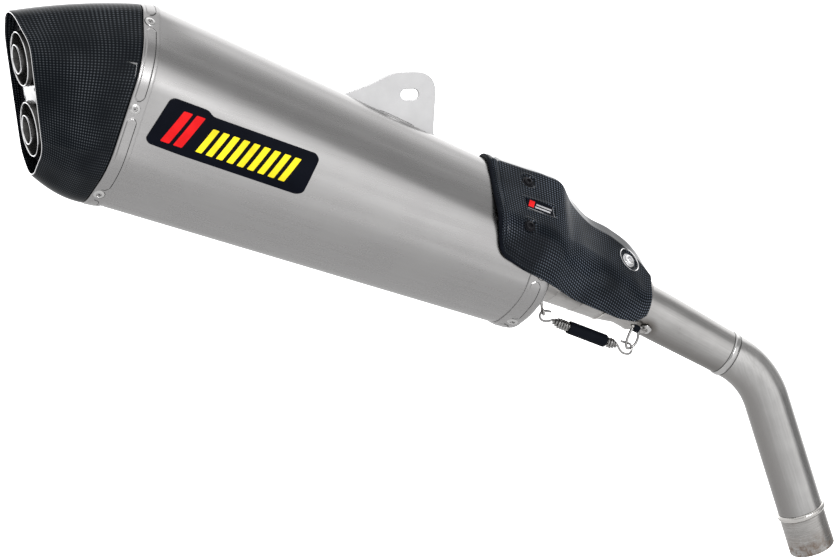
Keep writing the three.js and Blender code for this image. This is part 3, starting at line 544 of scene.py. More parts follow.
titanium = satin_metal("titanium", MUFFLER, (0.335, 0.329, 0.328), (0.359, 0.354, 0.353), 0.27,
                       grain=(0.01, 0.25, 0.25), surface=0.0, shine=(0.02, 0.05))
bracket_titanium = satin_metal("bracket_titanium", WORLD, (0.42, 0.418, 0.422), (0.48, 0.478, 0.482), 0.42,
                               grain=(0.05, 0.05, 0.05), surface=0.02)
foot_metal = satin_metal("foot_metal", WORLD, (0.12, 0.11, 0.1), (0.34, 0.33, 0.32), 0.35,
                         grain=(0.25, 0.25, 0.25))
stainless = satin_metal("stainless", LINK, (0.36, 0.348, 0.338), (0.48, 0.47, 0.46), 0.33,
                        grain=(0.02, 0.6, 0.6), blotches=0.03)
inner_steel = satin_metal("inner_steel", MUFFLER, (0.075, 0.073, 0.072), (0.13, 0.128, 0.125), 0.32)
polished = polished_metal("polished_steel", (0.85, 0.85, 0.86), 0.1)
bridge_metal = polished_metal("bridge_metal", (0.42, 0.42, 0.43), 0.16)
rivet_metal = polished_metal("rivet_metal", (0.56, 0.555, 0.55), 0.26)
weld_metal = polished_metal("weld_metal", (0.6, 0.585, 0.565), 0.17)
WELD_FOOT = (131.0, -17.3, -18.7)
# Painted shade: the way that the shaded underside faces, and its darker colour.
PAINTED_SHADE_BELOW = ((-0.75, -0.1, -0.65), (0.17, 0.162, 0.155))
# Darker round the loop's weld foot, and painted shade on the underside.
pipe_metal = satin_metal("pipe_metal", LINK, (0.34, 0.333, 0.327), (0.44, 0.433, 0.427), 0.28,
                         grain=(0.02, 0.6, 0.6), blotches=0.03, surface=0.01,
                         dark_halos=[(WELD_FOOT, 5.0, 15.0, (0.12, 0.105, 0.095))], underside_shade=PAINTED_SHADE_BELOW)
spring_steel = satin_metal("spring_steel", LINK, (0.22, 0.217, 0.214), (0.38, 0.375, 0.37), 0.24,
                           surface=0.01)
cap_carbon = carbon_fibre("cap_carbon_fibre", (0.08, 0.089, 0.101), 1.2)
shield_carbon = carbon_fibre("shield_carbon_fibre", (0.11, 0.13, 0.165), 1.2)
black_steel = moulded("black_steel", (0.006, 0.006, 0.008), 0.3, shine=0.15)
rubber = moulded("rubber", (0.003, 0.004, 0.007), 0.55, grain=2.0)
badge_black = moulded("badge_black", (0.001, 0.0018, 0.005), 0.45, grain=3.0, depth=0.02)
badge_red = moulded("badge_red", (0.62, 0.01, 0.012), 0.35, grain=3.0, depth=0.02)
badge_yellow = moulded("badge_yellow", (0.85, 0.68, 0.02), 0.35, grain=3.0, depth=0.02)
keyline = polished_metal("keyline", (0.6, 0.6, 0.62), 0.3)
wool = glass_wool("glass_wool")
# Painted shade: a near-black for marks that stand in for shade, the panel lines and the rivets' holes and
# rings.
shade_black = moulded("shade_black", (0.004, 0.004, 0.0045), 0.6)

# ---------- sleeve, bands and rivets ----------
RIVET_HEIGHTS = {"rear": (7.5, [106.5, 24, -60]), "front": (439.5, [45, -13, -63])}


def sleeve():
    xs = np.concatenate([[1.2, BAND_WIDTH - 0.8, BAND_WIDTH + 0.6], np.linspace(BAND_WIDTH + 8, 444.5, 30)])
    outside = [sleeve_ring(x, 0) for x in xs]
    inside = [sleeve_ring(x, -SHEET) for x in xs[::-3]]
    loft("sleeve", outside + inside, titanium, stands_for=["outer_sleeve"], slot="titanium")


PANEL_GAP = 8.2  # from a rivet to the panel beside it
CHAMFER = 3.4
BAND_COLUMNS = 640


def panel_spans(ring, rivet_x, heights):
    """Where each pressed panel starts and ends round a ring, each point's way round it, and its length."""
    step = np.linalg.norm(np.roll(ring, -1, 0) - ring, axis=1)
    round_at = np.concatenate([[0], np.cumsum(step)[:-1]])
    total = step.sum()
    stops = []
    for z in heights:
        y, _ = side_of(rivet_x, z)
        stops += [round_at[np.argmin(np.hypot(ring[:, 1] - side * y, ring[:, 2] - z))] for side in (1, -1)]
    stops = sorted(stops)
    spans = [(a + PANEL_GAP, b - PANEL_GAP) for a, b in zip(stops, stops[1:] + [stops[0] + total])]
    return spans, round_at, total


def panels(x, ring, rivet_x, heights, low, high):
    """How far each point of a band stands out for its panels, by its place along and round the band."""
    spans, round_at, total = panel_spans(ring, rivet_x, heights)
    inside = np.full((len(x), len(ring)), -9.0)
    left, right = x[:, None] - low, high - x[:, None]
    for start, end in spans:
        for shift in (0, total):
            near, far = round_at[None, :] + shift - start, end - round_at[None, :] - shift
            cuts = [(p + q - CHAMFER) / math.sqrt(2) for p in (near, far) for q in (left, right)]
            sides = np.broadcast_arrays(left, right, near, far)
            inside = np.maximum(inside, np.minimum.reduce([*sides, *cuts]))
    return 0.5 * np.clip(inside / 0.6, 0, 1)


def panel_shade_lines(name, ring, rivet_x, heights, high):
    """Painted shade: a dark line along each panel's inner edge and round its cut corners, standing in for the
    shade at the step.
    """
    spans, _, total = panel_spans(ring, rivet_x, heights)
    for number, (start, end) in enumerate(spans, 1):
        corners = [(high - 6, start), (high - CHAMFER, start), (high, start + CHAMFER), (high, end - CHAMFER),
                   (high - CHAMFER, end), (high - 6, end)]
        path = resampled(np.array(corners, float), max(int((end - start) / 2.5), 12), closed=False)
        points = []
        for x, at in path:
            place = (at % total) / total * len(ring)
            base = sleeve_ring(x, 1.3, len(ring))
            i = int(place)
            points.append(base[i] + (base[(i + 1) % len(ring)] - base[i]) * (place - i))
        rod(f"{name}_line_{number}", points, 0.3, shade_black, 6, slot="titanium")


def band(name, x, base, rivet_x, heights, low, high, tail, stands_for):
    """A riveted strip: a fine outer skin with pressed panels, then the rings that close it inside."""
    plain = np.array([sleeve_ring(at, by, BAND_COLUMNS) for at, by in zip(x, base)])
    lift = panels(x, plain[len(x) // 2], rivet_x, heights, low, high)
    along_ring = np.roll(plain, -1, 1) - np.roll(plain, 1, 1)
    out = np.stack([0 * lift, -along_ring[..., 2], along_ring[..., 1]], -1)
    out /= np.linalg.norm(out, axis=-1)[..., None]
    out *= np.sign((out * (plain - plain.mean(1)[:, None])).sum(-1))[..., None]
    outside = plain + out * lift[..., None]
    inside = [sleeve_ring(at, by, BAND_COLUMNS) if ring is None else ring for at, by, ring in tail]
    loft(name, list(outside) + inside, titanium, stands_for=[stands_for], slot="titanium", sharp=50)
    panel_shade_lines(name, plain[len(x) // 2], rivet_x, heights, high)


def rear_band():
    x = np.concatenate([[1.0, 1.15], np.arange(1.5, 16.0, 0.4), [16.4, 16.9, 17.3, 17.6]])
    base = np.interp(x, [1.0, 1.5, 16.2, 17.3, 17.6], [0.75, 1.15, 1.15, 0.95, 0.4])
    band("rear_band_pressed", x, base, *RIVET_HEIGHTS["rear"], 3.6, 13.2,
         [(17.4, 0.2, None), (1.0, 0.2, None)], "rear_band")


def front_cap():
    x = np.concatenate([[SKIRT_BACK, SKIRT_BACK + 0.25], np.arange(SKIRT_BACK + 0.8, 443.6, 0.4),
                        [444.4, 445.2, 446, 446.8, 447.6, 448.4, 449.1, 449.8, 450.4, 450.8, 451]])
    base = np.interp(x, [428, 428.4, 444, 446, 448, 449.5, 450.5, 451],
                     [0.5, 1.15, 1.15, 0.9, 0.1, -1.1, -2.8, -4.6])

    # The end face runs in from the sleeve's outline to a round opening.
    rim = sleeve_ring(449.2, -5.4, BAND_COLUMNS)
    centre = np.array([0, 9.9])
    away = rim[:, 1:] - centre
    away /= np.linalg.norm(away, axis=1)[:, None]
    circles = [np.column_stack([np.full(BAND_COLUMNS, at), centre + away * r])
               for at, r in ((449, 48), (449.6, 44.6), (448.2, 44.6))]
    face = [(451, -5.2, None), (450, -5.8, None)] + [(0, 0, ring) for ring in circles]
    face += [(448, -6.5, None), (446.4, -1.5, None), (SKIRT_BACK, 0.2, None)]
    band("front_cap_pressed", x, base, *RIVET_HEIGHTS["front"], 431.4, 441.4, face, "front_end_cap")


def rivets():
    head = [(0.0, -1.0), (2.4, -1.0), (2.45, 1.1), (2.65, 1.4), (3.0, 1.45), (3.7, 1.3), (4.5, 1.0),
            (5.0, 0.85), (5.35, 0.55), (5.45, 0.15), (5.4, -0.35), (4.4, -0.5), (0.0, -1.4)]
    # Painted shade: the mandrel is black, so that the hole in the head looks dark.
    mandrel = [(0.0, 0.5), (0.8, 0.45), (1.6, 0.2), (2.42, -0.3), (0.0, -0.95)]
    # Painted shadow: a black ring just outside the head, standing in for the shade round it.
    painted_shadow_ring = [(5.2, -0.6), (5.35, 0.4), (5.95, 0.3), (6.1, -0.6)]
    for end, (x, heights) in RIVET_HEIGHTS.items():
        number = 0
        for z in heights:
            y, out = side_of(x, z, 0.7)
            for side in (NEAR, -NEAR):
                number += 1
                place = aimed((0, side * out.y, out.z), (x, side * y, z))
                name = f"{end}_rivet_{number}"
                options = {"place": place, "slot": "polished_metal"}
                turned(f"{name}_head", head, rivet_metal, 40, stands_for=[name], **options)
                turned(f"{name}_pin", mandrel, shade_black, 20, **options)
                turned(f"{name}_gap", painted_shadow_ring, shade_black, 32, **options)


# ---------- outlet cap ----------
CAP_COLUMNS = 300


def cap_ring(t, by):
    """The cap's outline from the sleeve's edge (t = 0) to its slanted rim (t = 1)."""
    start = [(y, z - RIM_PLACE[1], r) for y, z, r in REAR_OUTLINE]
    crown = 4 * t * (1 - t)
    yz = outline(between(start, RIM_OUTLINE, t), by + crown, CAP_COLUMNS)
    local = np.column_stack([t * yz[:, 0] ** 2 / (2 * RIM_PLAN_RADIUS), yz])
    turn = np.array(turn_y(RIM_TILT * t).to_3x3())
    return local @ turn.T + np.array([RIM_PLACE[0] * t, 0, RIM_PLACE[1]])


def cap_shell():
    lead = [(0.0, 0.1), (0.002, 0.6), (0.006, 0.95), (0.014, CAP_SKIN)]
    body = [(t, CAP_SKIN) for t in np.linspace(0.03, 0.985, 40)]
    lip = [(0.992, 1.0), (0.998, 0.7), (1.0, 0.2), (1.0, -0.5), (0.996, -0.9)]
    inner = [(t, CAP_SKIN - CARBON) for t in np.linspace(0.985, 0.05, 14)]
    rings = [cap_ring(t, by) for t, by in lead + body + lip + inner]
    rings += [sleeve_ring(x, by, CAP_COLUMNS) for x, by in ((0, -3.5), (14, -3.5), (14, -1.5), (0.4, -1.5))]
    rings = np.array(rings)
    along = np.concatenate([[0], np.cumsum(np.linalg.norm(np.diff(rings, axis=0), axis=2).mean(1)), [0]])
    middle = rings[len(lead) + 8]
    girth = np.concatenate([[0], np.cumsum(np.linalg.norm(np.roll(middle, -1, 0) - middle, axis=1))])
    girth *= round(girth[-1] / WEAVE_PITCH) * WEAVE_PITCH / girth[-1]
    shell = loft("cap_shell", rings, cap_carbon, stands_for=["end_cap_shell"], slot="carbon_fibre",
                 weld=False, sharp=60)
    lay_weave(shell.data, closed_weave(along, girth))
    # Painted highlight: a bright polished strip round the rim, standing in for the highlight along the cap's
    # clear-coated edge.
    edge = [cap_ring(t, by) for t, by in ((0.997, 0.3), (1.0005, 0.25), (1.0005, -0.65), (0.997, -0.7))]
    loft("cap_rim_highlight", edge, polished, slot="carbon_fibre", sharp=60)


def plate(name, loops, thickness, bevel, look, **options):
    """A flat plate with bevelled edges from closed loops of (across, up): its outline first, then its holes.
    It lies in the frame's y-z plane, from x = 0 to its thickness."""
    curve = bpy.data.curves.new(name, "CURVE")
    curve.dimensions = "2D"
    curve.fill_mode = "BOTH"
    curve.extrude = thickness / 2 - bevel
    curve.bevel_depth = bevel
    curve.bevel_resolution = 2
    curve.offset = -bevel
    for points in loops:
        spline = curve.splines.new("POLY")
        spline.points.add(len(points) - 1)
        spline.use_cyclic_u = True
        for point, (a, b) in zip(spline.points, points):
            point.co = (a, b, 0, 1)
    holder = bpy.data.objects.new(name, curve)
    bpy.context.scene.collection.objects.link(holder)
    shape = holder.evaluated_get(bpy.context.evaluated_depsgraph_get()).to_mesh()
    flat = np.array([v.co for v in shape.vertices])
    faces = [tuple(p.vertices) for p in shape.polygons]
    bpy.data.objects.remove(holder)
    points = np.column_stack([flat[:, 2] + thickness / 2, flat[:, 0], flat[:, 1]])
    return piece(name, points, faces, look, **options)


def circle(y, z, radius, count=72):
    a = full_turn(count)
    return np.column_stack([y + radius * np.cos(a), z + radius * np.sin(a)])


def cap_face():
    rim_outline = outline(RIM_OUTLINE, -CARBON + CAP_SKIN - 0.9, 160)
    holes = [circle(0, z, OUTLET_RADIUS + 0.3) for z in OUTLET_HEIGHTS.values()]
    place = RIM @ Matrix.Translation((FACE_DEPTH, 0, 0))
    plate("cap_face", [rim_outline, *holes], 2, 0.25, black_steel, place=place,
          stands_for=["end_cap_face"], slot="carbon_fibre")


def outlets():
    bore = OUTLET_RADIUS - TUBE_WALL
    o = OUTLET_RADIUS
    tube = [(o - 0.2, 4.0), (o, 4.4), (o, 65.8), (bore, 65.8), (bore, 5.2), (bore + 0.25, 4.3),
            (o - 0.75, 3.8)]
    rim_ring = [(o - 0.1, 4.3), (o - 0.25, 3.7), (o - 0.75, 3.45), (o - 1.3, 3.7), (o - 1.45, 4.3)]
    skirt = bore - 0.3
    r = INSERT_RADIUS
    insert = [(r - 1.2, 1.6), (r - 0.9, 1.0), (r - 0.5, 0.8), (r - 0.1, 1.0), (r, 1.5), (r, 12.4),
              (r + 0.6, 13), (skirt - 2, 13), (skirt - 0.6, 13.4), (skirt, 14.4), (skirt, 33),
              (skirt - 1.5, 33), (skirt - 1.5, 15), (skirt - 2.4, 14.5), (r + 0.4, 14.5), (r, 15), (r, 56),
              (r - 1.3, 56)]
    lip = [(r + 0.1, 1.6), (r + 0.05, 0.75), (r - 0.5, 0.45), (r - 1.1, 0.75), (r - 1.35, 1.6)]
    for name, z in OUTLET_HEIGHTS.items():
        place = RIM @ Matrix.Translation((0, 0, z))
        turned(f"outlet_{name}", tube, inner_steel, 96, place=place, stands_for=[f"outlet_tube_{name}"],
               slot="stainless")
        turned(f"outlet_{name}_rim", rim_ring, polished, 96, place=place, slot="polished_metal")
        body = f"noise_insert_{name}"
        turned(f"insert_{name}", insert, inner_steel, 80, place=place, body=body, stands_for=[body],
               slot="stainless")
        turned(f"insert_{name}_rim", lip, polished, 80, place=place, body=body, slot="polished_metal")


def outlet_bridge():
    middle = sum(OUTLET_HEIGHTS.values()) / 2
    cut = OUTLET_RADIUS + 0.4
    reach = OUTLET_HEIGHTS["upper"] - middle
    y = np.linspace(-33, 16, 40)
    waist = np.where(np.abs(y) < cut, reach - np.sqrt(np.maximum(cut**2 - y**2, 0)), 99)
    half = np.minimum(waist, 9)
    top = np.column_stack([y, middle + half])
    low = np.column_stack([y, middle - half])[::-1]
    place = RIM @ Matrix.Translation((7.9, 0, 0))
    plate("bridge", [np.vstack([top, low])], 2.8, 0.5, bridge_metal, place=place,
          stands_for=["outlet_bridge"], slot="polished_metal")
    for number, up in ((1, 5.5), (2, -5.5)):
        place = RIM @ Matrix.Translation((7.9, -28, middle + up)) @ Matrix.Rotation(math.pi, 4, "Z")
        socket_screw(f"bridge_screw_{number}", place, 2.3, 1.7, black_steel, "black_steel")


SOCKET_SHARE = 0.5  # the socket's width across corners, as a share of the head's


def socket_screw(name, place, radius, height, look, slot, washer=None):
    """A button-head screw with a six-sided socket, pointing along the frame's x axis."""
    count = 48
    angle = full_turn(count)
    hexagon = SOCKET_SHARE * radius * math.cos(math.pi / 6) / np.cos((angle % (math.pi / 3)) - math.pi / 6)
    profile = [(1.0, 0.0), (1.0, 0.25 * height), (0.93, 0.6 * height), (0.8, 0.88 * height), (0.66, height)]
    socket = [(1.06, 0.98 * height), (1.0, 0.9 * height), (0.97, 0.35 * height), (0.02, 0.3 * height)]

    def ring(x, reach):
        return np.column_stack([np.full(count, x), reach * np.cos(angle), reach * np.sin(angle)])

    rings = [ring(x, r * radius) for r, x in profile] + [ring(x, k * hexagon) for k, x in socket]
    rings.append(ring(0.0, 0.01))
    loft(f"{name}_head", rings, look, place=place, stands_for=[name], slot=slot, sharp=40)
    if washer:
        inner = radius * 0.9
        profile = [(washer, 0.05), (washer - 0.3, 0.5), (washer - 1.0, 0.62), (inner, 0.5), (inner, 0.05)]
        turned(f"{name}_washer", profile, look, 48, place=place, slot=slot)


# ---------- inlet cone, link pipe and collar ----------
def seam(at, radius, width=2.0, height=0.35):
    """A profile bump where two cones are welded together."""
    return [(radius, at - width / 2), (radius + height * 0.8, at - width / 4), (radius + height, at),
            (radius + height * 0.8, at + width / 4), (radius, at + width / 2)]


def inlet():
    tilt = math.radians(PIPE_PITCH - MUFFLER_PITCH)
    profile = [(43, -2)]
    for at, radius in CONE_RINGS[1:-1]:
        profile += seam(at, radius)
    profile += [(32.4, 83), (31.6, 84), (30.9, 83.6)] + [(r - TUBE_WALL, x) for x, r in CONE_RINGS[::-1][1:]]
    made = turned("inlet_cones", profile, stainless, 96, place=LINK, stands_for=["inlet_cone"],
                  slot="titanium")
    # The back end is cut square to the muffler, so it lies along the end cap's face.
    face = np.array(MUFFLER.inverted())
    for vertex in made.data.vertices:
        local = Vector(face[:3, :3] @ (np.array(vertex.co) / MM) + face[:3, 3])
        if local.x < SLEEVE_LENGTH - 1.4:
            push = (SLEEVE_LENGTH - 1.4 - local.x) / math.cos(tilt)
            vertex.co += (LINK.to_3x3() @ Vector((1, 0, 0))) * push * MM
    x0 = CONE_RINGS[-1][0]
    r = SOCKET_RADIUS
    x1 = SOCKET_END
    socket = [(31.9, x0 + 0.3), (31.2, x0 + 3), (28.6, x0 + 12), (26.7, x0 + 18), (r, x0 + 21), (r, x1 - 5),
              (r + 0.25, x1 - 4), (r + 0.45, x1 - 2), (r + 0.3, x1 - 0.5), (r - 0.3, x1),
              (SLIP_RADIUS + 0.35, x1 - 0.4), (SLIP_RADIUS + 0.3, x0 + 21), (30.4, x0 + 0.3)]
    turned("socket", socket, stainless, 96, place=LINK, stands_for=["inlet_socket"], slot="titanium")
    weld = [(31.2, x0 - 1.2), (32.7, x0 - 0.9), (33.0, x0), (32.6, x0 + 0.9), (31.2, x0 + 1.2)]
    turned("cone_seam", weld, weld_metal, 180, ripple=weld_ripple(2.2, 0.004), place=LINK, slot="titanium")


def weld_ripple(pitch, amount, radius=24):
    """The scales of a weld bead: a radius that rises and falls round the ring, a little unevenly."""
    scales = round(2 * math.pi * radius / pitch)

    def grow(profile, angle):
        outer = (profile[:, :1] > profile[:, 0].min() + 0.2) * 1.0
        wave = np.abs(np.sin(scales * angle / 2)) + 0.4 * np.sin(7 * angle) * np.sin(3 * angle + 1)
        return 1 + outer * amount * wave[None, :]
    return grow


def pipe_profile(stations, wall):
    outside = list(stations)
    return outside + [(r - wall, x) for r, x in reversed(outside)]


def link_pipe():
    options = {"body": "link_pipe", "place": LINK, "slot": "stainless"}
    end = BEAD_AT - 3.8
    taper = [(SLIP_RADIUS, 97), (SLIP_RADIUS, 138), (SLIP_RADIUS - 0.06, 141)]
    taper += [(SLIP_RADIUS + (PIPE_RADIUS - SLIP_RADIUS) * t, 144 + t * (end - 152))
              for t in np.linspace(0.1, 1, 8)]
    taper += [(PIPE_RADIUS, end)]
    turned("link_pipe_upper", pipe_profile(taper, TUBE_WALL), pipe_metal, 96,
           stands_for=["link_pipe_cone"], **options)
    r = PIPE_RADIUS
    half = [(0.9, -3.6), (-0.02, -3.6), (-0.05, -2.9), (-0.45, -2.6), (-0.85, -1.9), (-1.0, -1.0)]
    bead = [(r - depth, BEAD_AT + x) for depth, x in half + [(depth, -x) for depth, x in reversed(half)]]
    turned("bead_ring", bead, polished_bead, 96, stands_for=["link_pipe_bead"], **options)
    for number, at in ((1, BEAD_AT - 3.5), (2, BEAD_AT + 3.5)):
        groove = [(r - 0.6, at - 0.5), (r + 0.12, at - 0.45), (r + 0.12, at + 0.45), (r - 0.6, at + 0.5)]
        turned(f"bead_line_{number}", groove, inner_steel, 96, **options)
    bend()
    ring = aimed(run_way, run_at(LOWER_LENGTH + 3), LINK)
    weld = [(r - 1.4, -3), (r + 0.1, -3), (r + 0.7, -2.5), (r + 1.45, -1.7), (r + 1.75, -0.6),
            (r + 1.75, 0.6), (r + 1.45, 1.7), (r + 0.8, 2.5), (r + 0.2, 3), (r - 1.4, 3)]
    turned("collar_weld", weld, weld_metal, 220, ripple=weld_ripple(2.6, 0.012), body="link_pipe", place=ring,
           stands_for=["collar_ring"], slot="stainless")
    collar = aimed(run_way, run_at(LOWER_LENGTH + 6.3), LINK)
    c = COLLAR_RADIUS
    bore = c - TUBE_WALL
    profile = [(c - 0.1, 0), (c, 0.4), (c, COLLAR_LENGTH - 0.6), (c - 0.5, COLLAR_LENGTH),
               (bore + 0.3, COLLAR_LENGTH), (bore, COLLAR_LENGTH - 0.5), (bore, 0)]
    turned("collar", profile, collar_metal, 96, body="link_pipe", place=collar, stands_for=["inlet_collar"],
           slot="stainless")


aside = math.radians(BEND["aside"])
bend_side = np.array([0, math.sin(aside), -math.cos(aside)])


def bend_at(angle):
    forward = np.array([1.0, 0, 0])
    turn = math.sin(angle) * forward + (1 - math.cos(angle)) * bend_side
    at = np.array([BEND["start"], 0, 0]) + BEND["radius"] * turn
    return at, math.cos(angle) * forward + math.sin(angle) * bend_side


bend_end, run_way = bend_at(math.radians(BEND["angle"]))


def run_at(distance):
    return bend_end + run_way * distance


def bend():
    """The bent tube, as rings square to its centre line."""
    stations = [(np.array([BEAD_AT + 3.8, 0, 0]), np.array([1.0, 0, 0]))]
    stations += [bend_at(a) for a in np.linspace(0, math.radians(BEND["angle"]), 28)]
    stations += [(run_at(d), run_way) for d in np.linspace(4, LOWER_LENGTH - 0.3, 16)]
    across = np.cross([1, 0, 0], bend_side)

    def ring(at, along, radius):
        return ring_at(at, radius, across, np.cross(across, along), 96)

    rings = [ring(at, along, PIPE_RADIUS) for at, along in stations]
    rings += [ring(at, along, PIPE_RADIUS - TUBE_WALL) for at, along in stations[::-1]]
    loft("link_pipe_lower", rings, stainless_bend, body="link_pipe", place=LINK,
         stands_for=["link_pipe_bend"], slot="stainless")


# The bend gets painted shade on its underside too, in a lighter colour.
stainless_bend = satin_metal(
    "stainless_bend", aimed(run_way, run_at(0), LINK), (0.4, 0.394, 0.388), (0.52, 0.514, 0.508), 0.22,
    grain=(0.012, 0.45, 0.45), blotches=0.03, surface=0.01, underside_shade=(PAINTED_SHADE_BELOW[0], (0.27, 0.262, 0.255)))
polished_bead = polished_metal("bead_metal", (0.5, 0.495, 0.49), 0.16)


def collar_finish():
    """Brushed round by its fitting, with a brown stain near its open end."""
    place = aimed(run_way, run_at(LOWER_LENGTH + 6.3), LINK)
    look = Look("collar_metal")
    rings = look.noise(look.coordinates(place, (1.4, 0.05, 0.05)), detail=4)
    spots = look.noise(look.coordinates(place, (0.12, 0.12, 0.12)), detail=6, roughness=0.75)
    along = look.coordinates(place, (1 / COLLAR_LENGTH, 0.1, 0.1))
    length = look.node("SeparateXYZ", {"Vector": along}).outputs[0]
    stain = look.math("MULTIPLY", look.math("SUBTRACT", length, 0.35), look.math("SUBTRACT", spots, 0.42))
    stain = look.math("MAXIMUM", look.math("MULTIPLY", stain, 9.0), 0.0)
    steel = look.ramp(rings, [(0.3, (0.27, 0.26, 0.25)), (0.7, (0.46, 0.45, 0.44))])
    colour = look.mixed(look.math("MINIMUM", stain, 0.75), steel, (0.16, 0.105, 0.07))
    look.set(Base_Color=colour, Metallic=1.0, Roughness=look.math("MULTIPLY_ADD", stain, 0.3, 0.27),
             Normal=look.bump(rings, 0.3, 0.08))
    return look.material


collar_metal = collar_finish()


# ---------- retaining spring ----------
SPRING_LATERAL = 26
COIL_START, COIL_END = (38, -55.4), (108.4, -46.6)
COIL_RADIUS = 5.3
WIRE = 1.15
TURNS = 26
EYE_RADIUS = 3.2


def beside(x, z, aside=0.0):
    return np.array([x, NEAR * (SPRING_LATERAL + aside), z])


def retaining_spring():
    start, end = beside(*COIL_START), beside(*COIL_END)
    along = (end - start) / np.linalg.norm(end - start)
    length = np.linalg.norm(end - start)
    up = np.cross(along, [0, 1, 0])
    side = np.cross(along, up)
    t = np.linspace(0, 1, TURNS * 18)
    reach = (COIL_RADIUS - WIRE) * np.clip(np.minimum(t * length / 9 + 0.3, (1 - t) * length / 9 + 0.3), 0, 1)
    # Under the cover the coil is narrower, so that it stays clear of it as it stretches.
    reach -= 1.5 * smooth_step((t * length - 14) / 5) * smooth_step((62 - t * length) / 5)
    angle = 2 * np.pi * TURNS * t
    coil = start + np.outer(t * length, along) + reach[:, None] * (
        np.cos(angle)[:, None] * up + np.sin(angle)[:, None] * side)
    rear = smooth_path([coil[0], beside(34, -57.6), beside(29, -59.5), beside(24.6, -58), beside(23.6, -53.6),
                        beside(26.4, -50.4), beside(32, -48.4)], 60)
    front = smooth_path([coil[-1], beside(112, -48.2), beside(117, -50), beside(122.4, -48.4, 1.9),
                         beside(123, -43.6, 2.9), beside(120.2, -39.4), beside(116.8, -39.8, -2.6),
                         beside(111.5, -40.6, -2.9)], 70)
    path = np.vstack([rear[::-1], coil[1:-1], front])
    # The coil stretches between the muffler and the link pipe, so it rides on neither.
    made = rod("spring_coil", path, WIRE, spring_steel, 10, place=LINK, body=None,
               stands_for=["retaining_spring"], slot="spring_steel")
    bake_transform(made)

    cover = aimed(along, start, LINK)
    bore = COIL_RADIUS + 0.3
    profile = [(bore, 17.6), (5.9, 17.4), (6.2, 17.9), (6.3, 19), (6.3, 56.4), (6.2, 57.5), (5.9, 58),
               (bore, 57.8)]
    turned("spring_cover", profile, rubber, 48, body="spring_sleeve", place=cover,
           stands_for=["spring_sleeve"], slot="rubber")


def spring_anchors():
    eye_at, way = Vector(beside(24.9, -52)), Vector((1, 0, 1)).normalized()
    across = Vector((0, 1, 0))
    ring = ring_at(np.array(eye_at), EYE_RADIUS, np.array(across), np.array(way.cross(across)), 48)
    torus("lug_eye", ring, 1.0, stainless, place=LINK, stands_for=["spring_lug"], slot="titanium")
    stem = [beside(13, -35.4, -4.4), beside(15.5, -38.6, -3), beside(18.5, -43, -1), beside(22.4, -49.2)]
    stem_path = smooth_path(stem, 24)
    rod("lug_stem", stem_path, 1.4, stainless, place=LINK, slot="titanium")

    foot_out = Vector((0, NEAR, -1.08)).normalized()
    foot_place = aimed(foot_out, (131, *(foot_out * (SLIP_RADIUS + 1.2))[1:]), LINK)
    blob = [(0.01 + 5.6 * math.sin(a), 2.0 * math.cos(a)) for a in np.linspace(0, 2.0, 14)] + [(0.01, -1.2)]
    weld = turned("loop_foot", blob, rivet_metal, 60, body="link_pipe", place=foot_place,
                  ripple=lambda p, a: 1 + 0.05 * np.sin(5 * a + 1)[None, :] * np.ones((len(p), 1)))
    stub_path = smooth_path([beside(131, -19.8, -7.4), beside(128, -21.6, -4.6), beside(121, -23.4, -1),
                             beside(113.6, -23)], 40)
    stub = rod("loop_stub", stub_path, 2.3, stainless, 20, body="link_pipe", place=LINK)
    wire_path = smooth_path([beside(116, -22.6), beside(114.4, -29), beside(115.8, -40), beside(119.6, -44),
                             beside(124, -39), beside(124.4, -31), beside(120.8, -23)], 90)
    wire = rod("loop_wire", wire_path, 1.35, spring_steel, 14, body="link_pipe", place=LINK)
    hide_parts("spring_loop")
    # Painted shadow: a black rubber ring where the loop wraps the stub, standing in for the shade there.
    stub_shadow_profile = [(2.4, -3.4), (3.3, -3.2), (3.6, -1), (3.6, 1), (3.3, 3.2), (2.4, 3.4)]
    stub_shadow_place = aimed((-1, 0, 0.02), beside(118.4, -23.2, -0.6), LINK)
    turned("loop_stub_shadow", stub_shadow_profile, rubber, 32, body="link_pipe", place=stub_shadow_place, slot="rubber")


def torus(name, ring, radius, look, sides=14, **options):
    """A wire ring through a closed round of points."""
    along = np.roll(ring, -1, 0) - np.roll(ring, 1, 0)
    along /= np.linalg.norm(along, axis=1)[:, None]
    out = ring - ring.mean(0)
    out /= np.linalg.norm(out, axis=1)[:, None]
    third = np.cross(along, out)
    rings = [ring_at(*at, sides) for at in zip(ring, [radius] * len(ring), out, third)]
    return loft(name, rings, look, **options)


# ---------- hanger ----------
BRACKET_Y = 14
BRACKET_THICKNESS = 3
SLOT_HALF, SLOT_RADIUS = 3.75, 5.25
FOOT = 2
FOOT_BACK, FOOT_FRONT = 216, 341
FOOT_INNER, FOOT_OUTER = 8, 22


def top_at(x, y, by=0.0):
    ring = sleeve_ring(x, by)
    near = ring[(ring[:, 2] > 0) & (ring[:, 1] > -5)]
    near = near[np.argsort(near[:, 1])]
    return float(np.interp(y, near[:, 1], near[:, 2]))


def curved(a, control, b, steps):
    """Points along a quadratic curve from a to b."""
    t = np.linspace(0, 1, steps)[:, None]
    return (1 - t) ** 2 * a + 2 * t * (1 - t) * control + t * t * b


def curve_points(start, moves):
    """An outline from straight moves (x, z) and curved ones (control x, z, end x, z)."""
    path = [np.array([start], float)]
    for move in moves:
        ends = np.array(move, float).reshape(-1, 2)
        path.append(ends if len(ends) == 1 else curved(path[-1][-1], *ends, 13)[1:])
    return np.vstack(path)


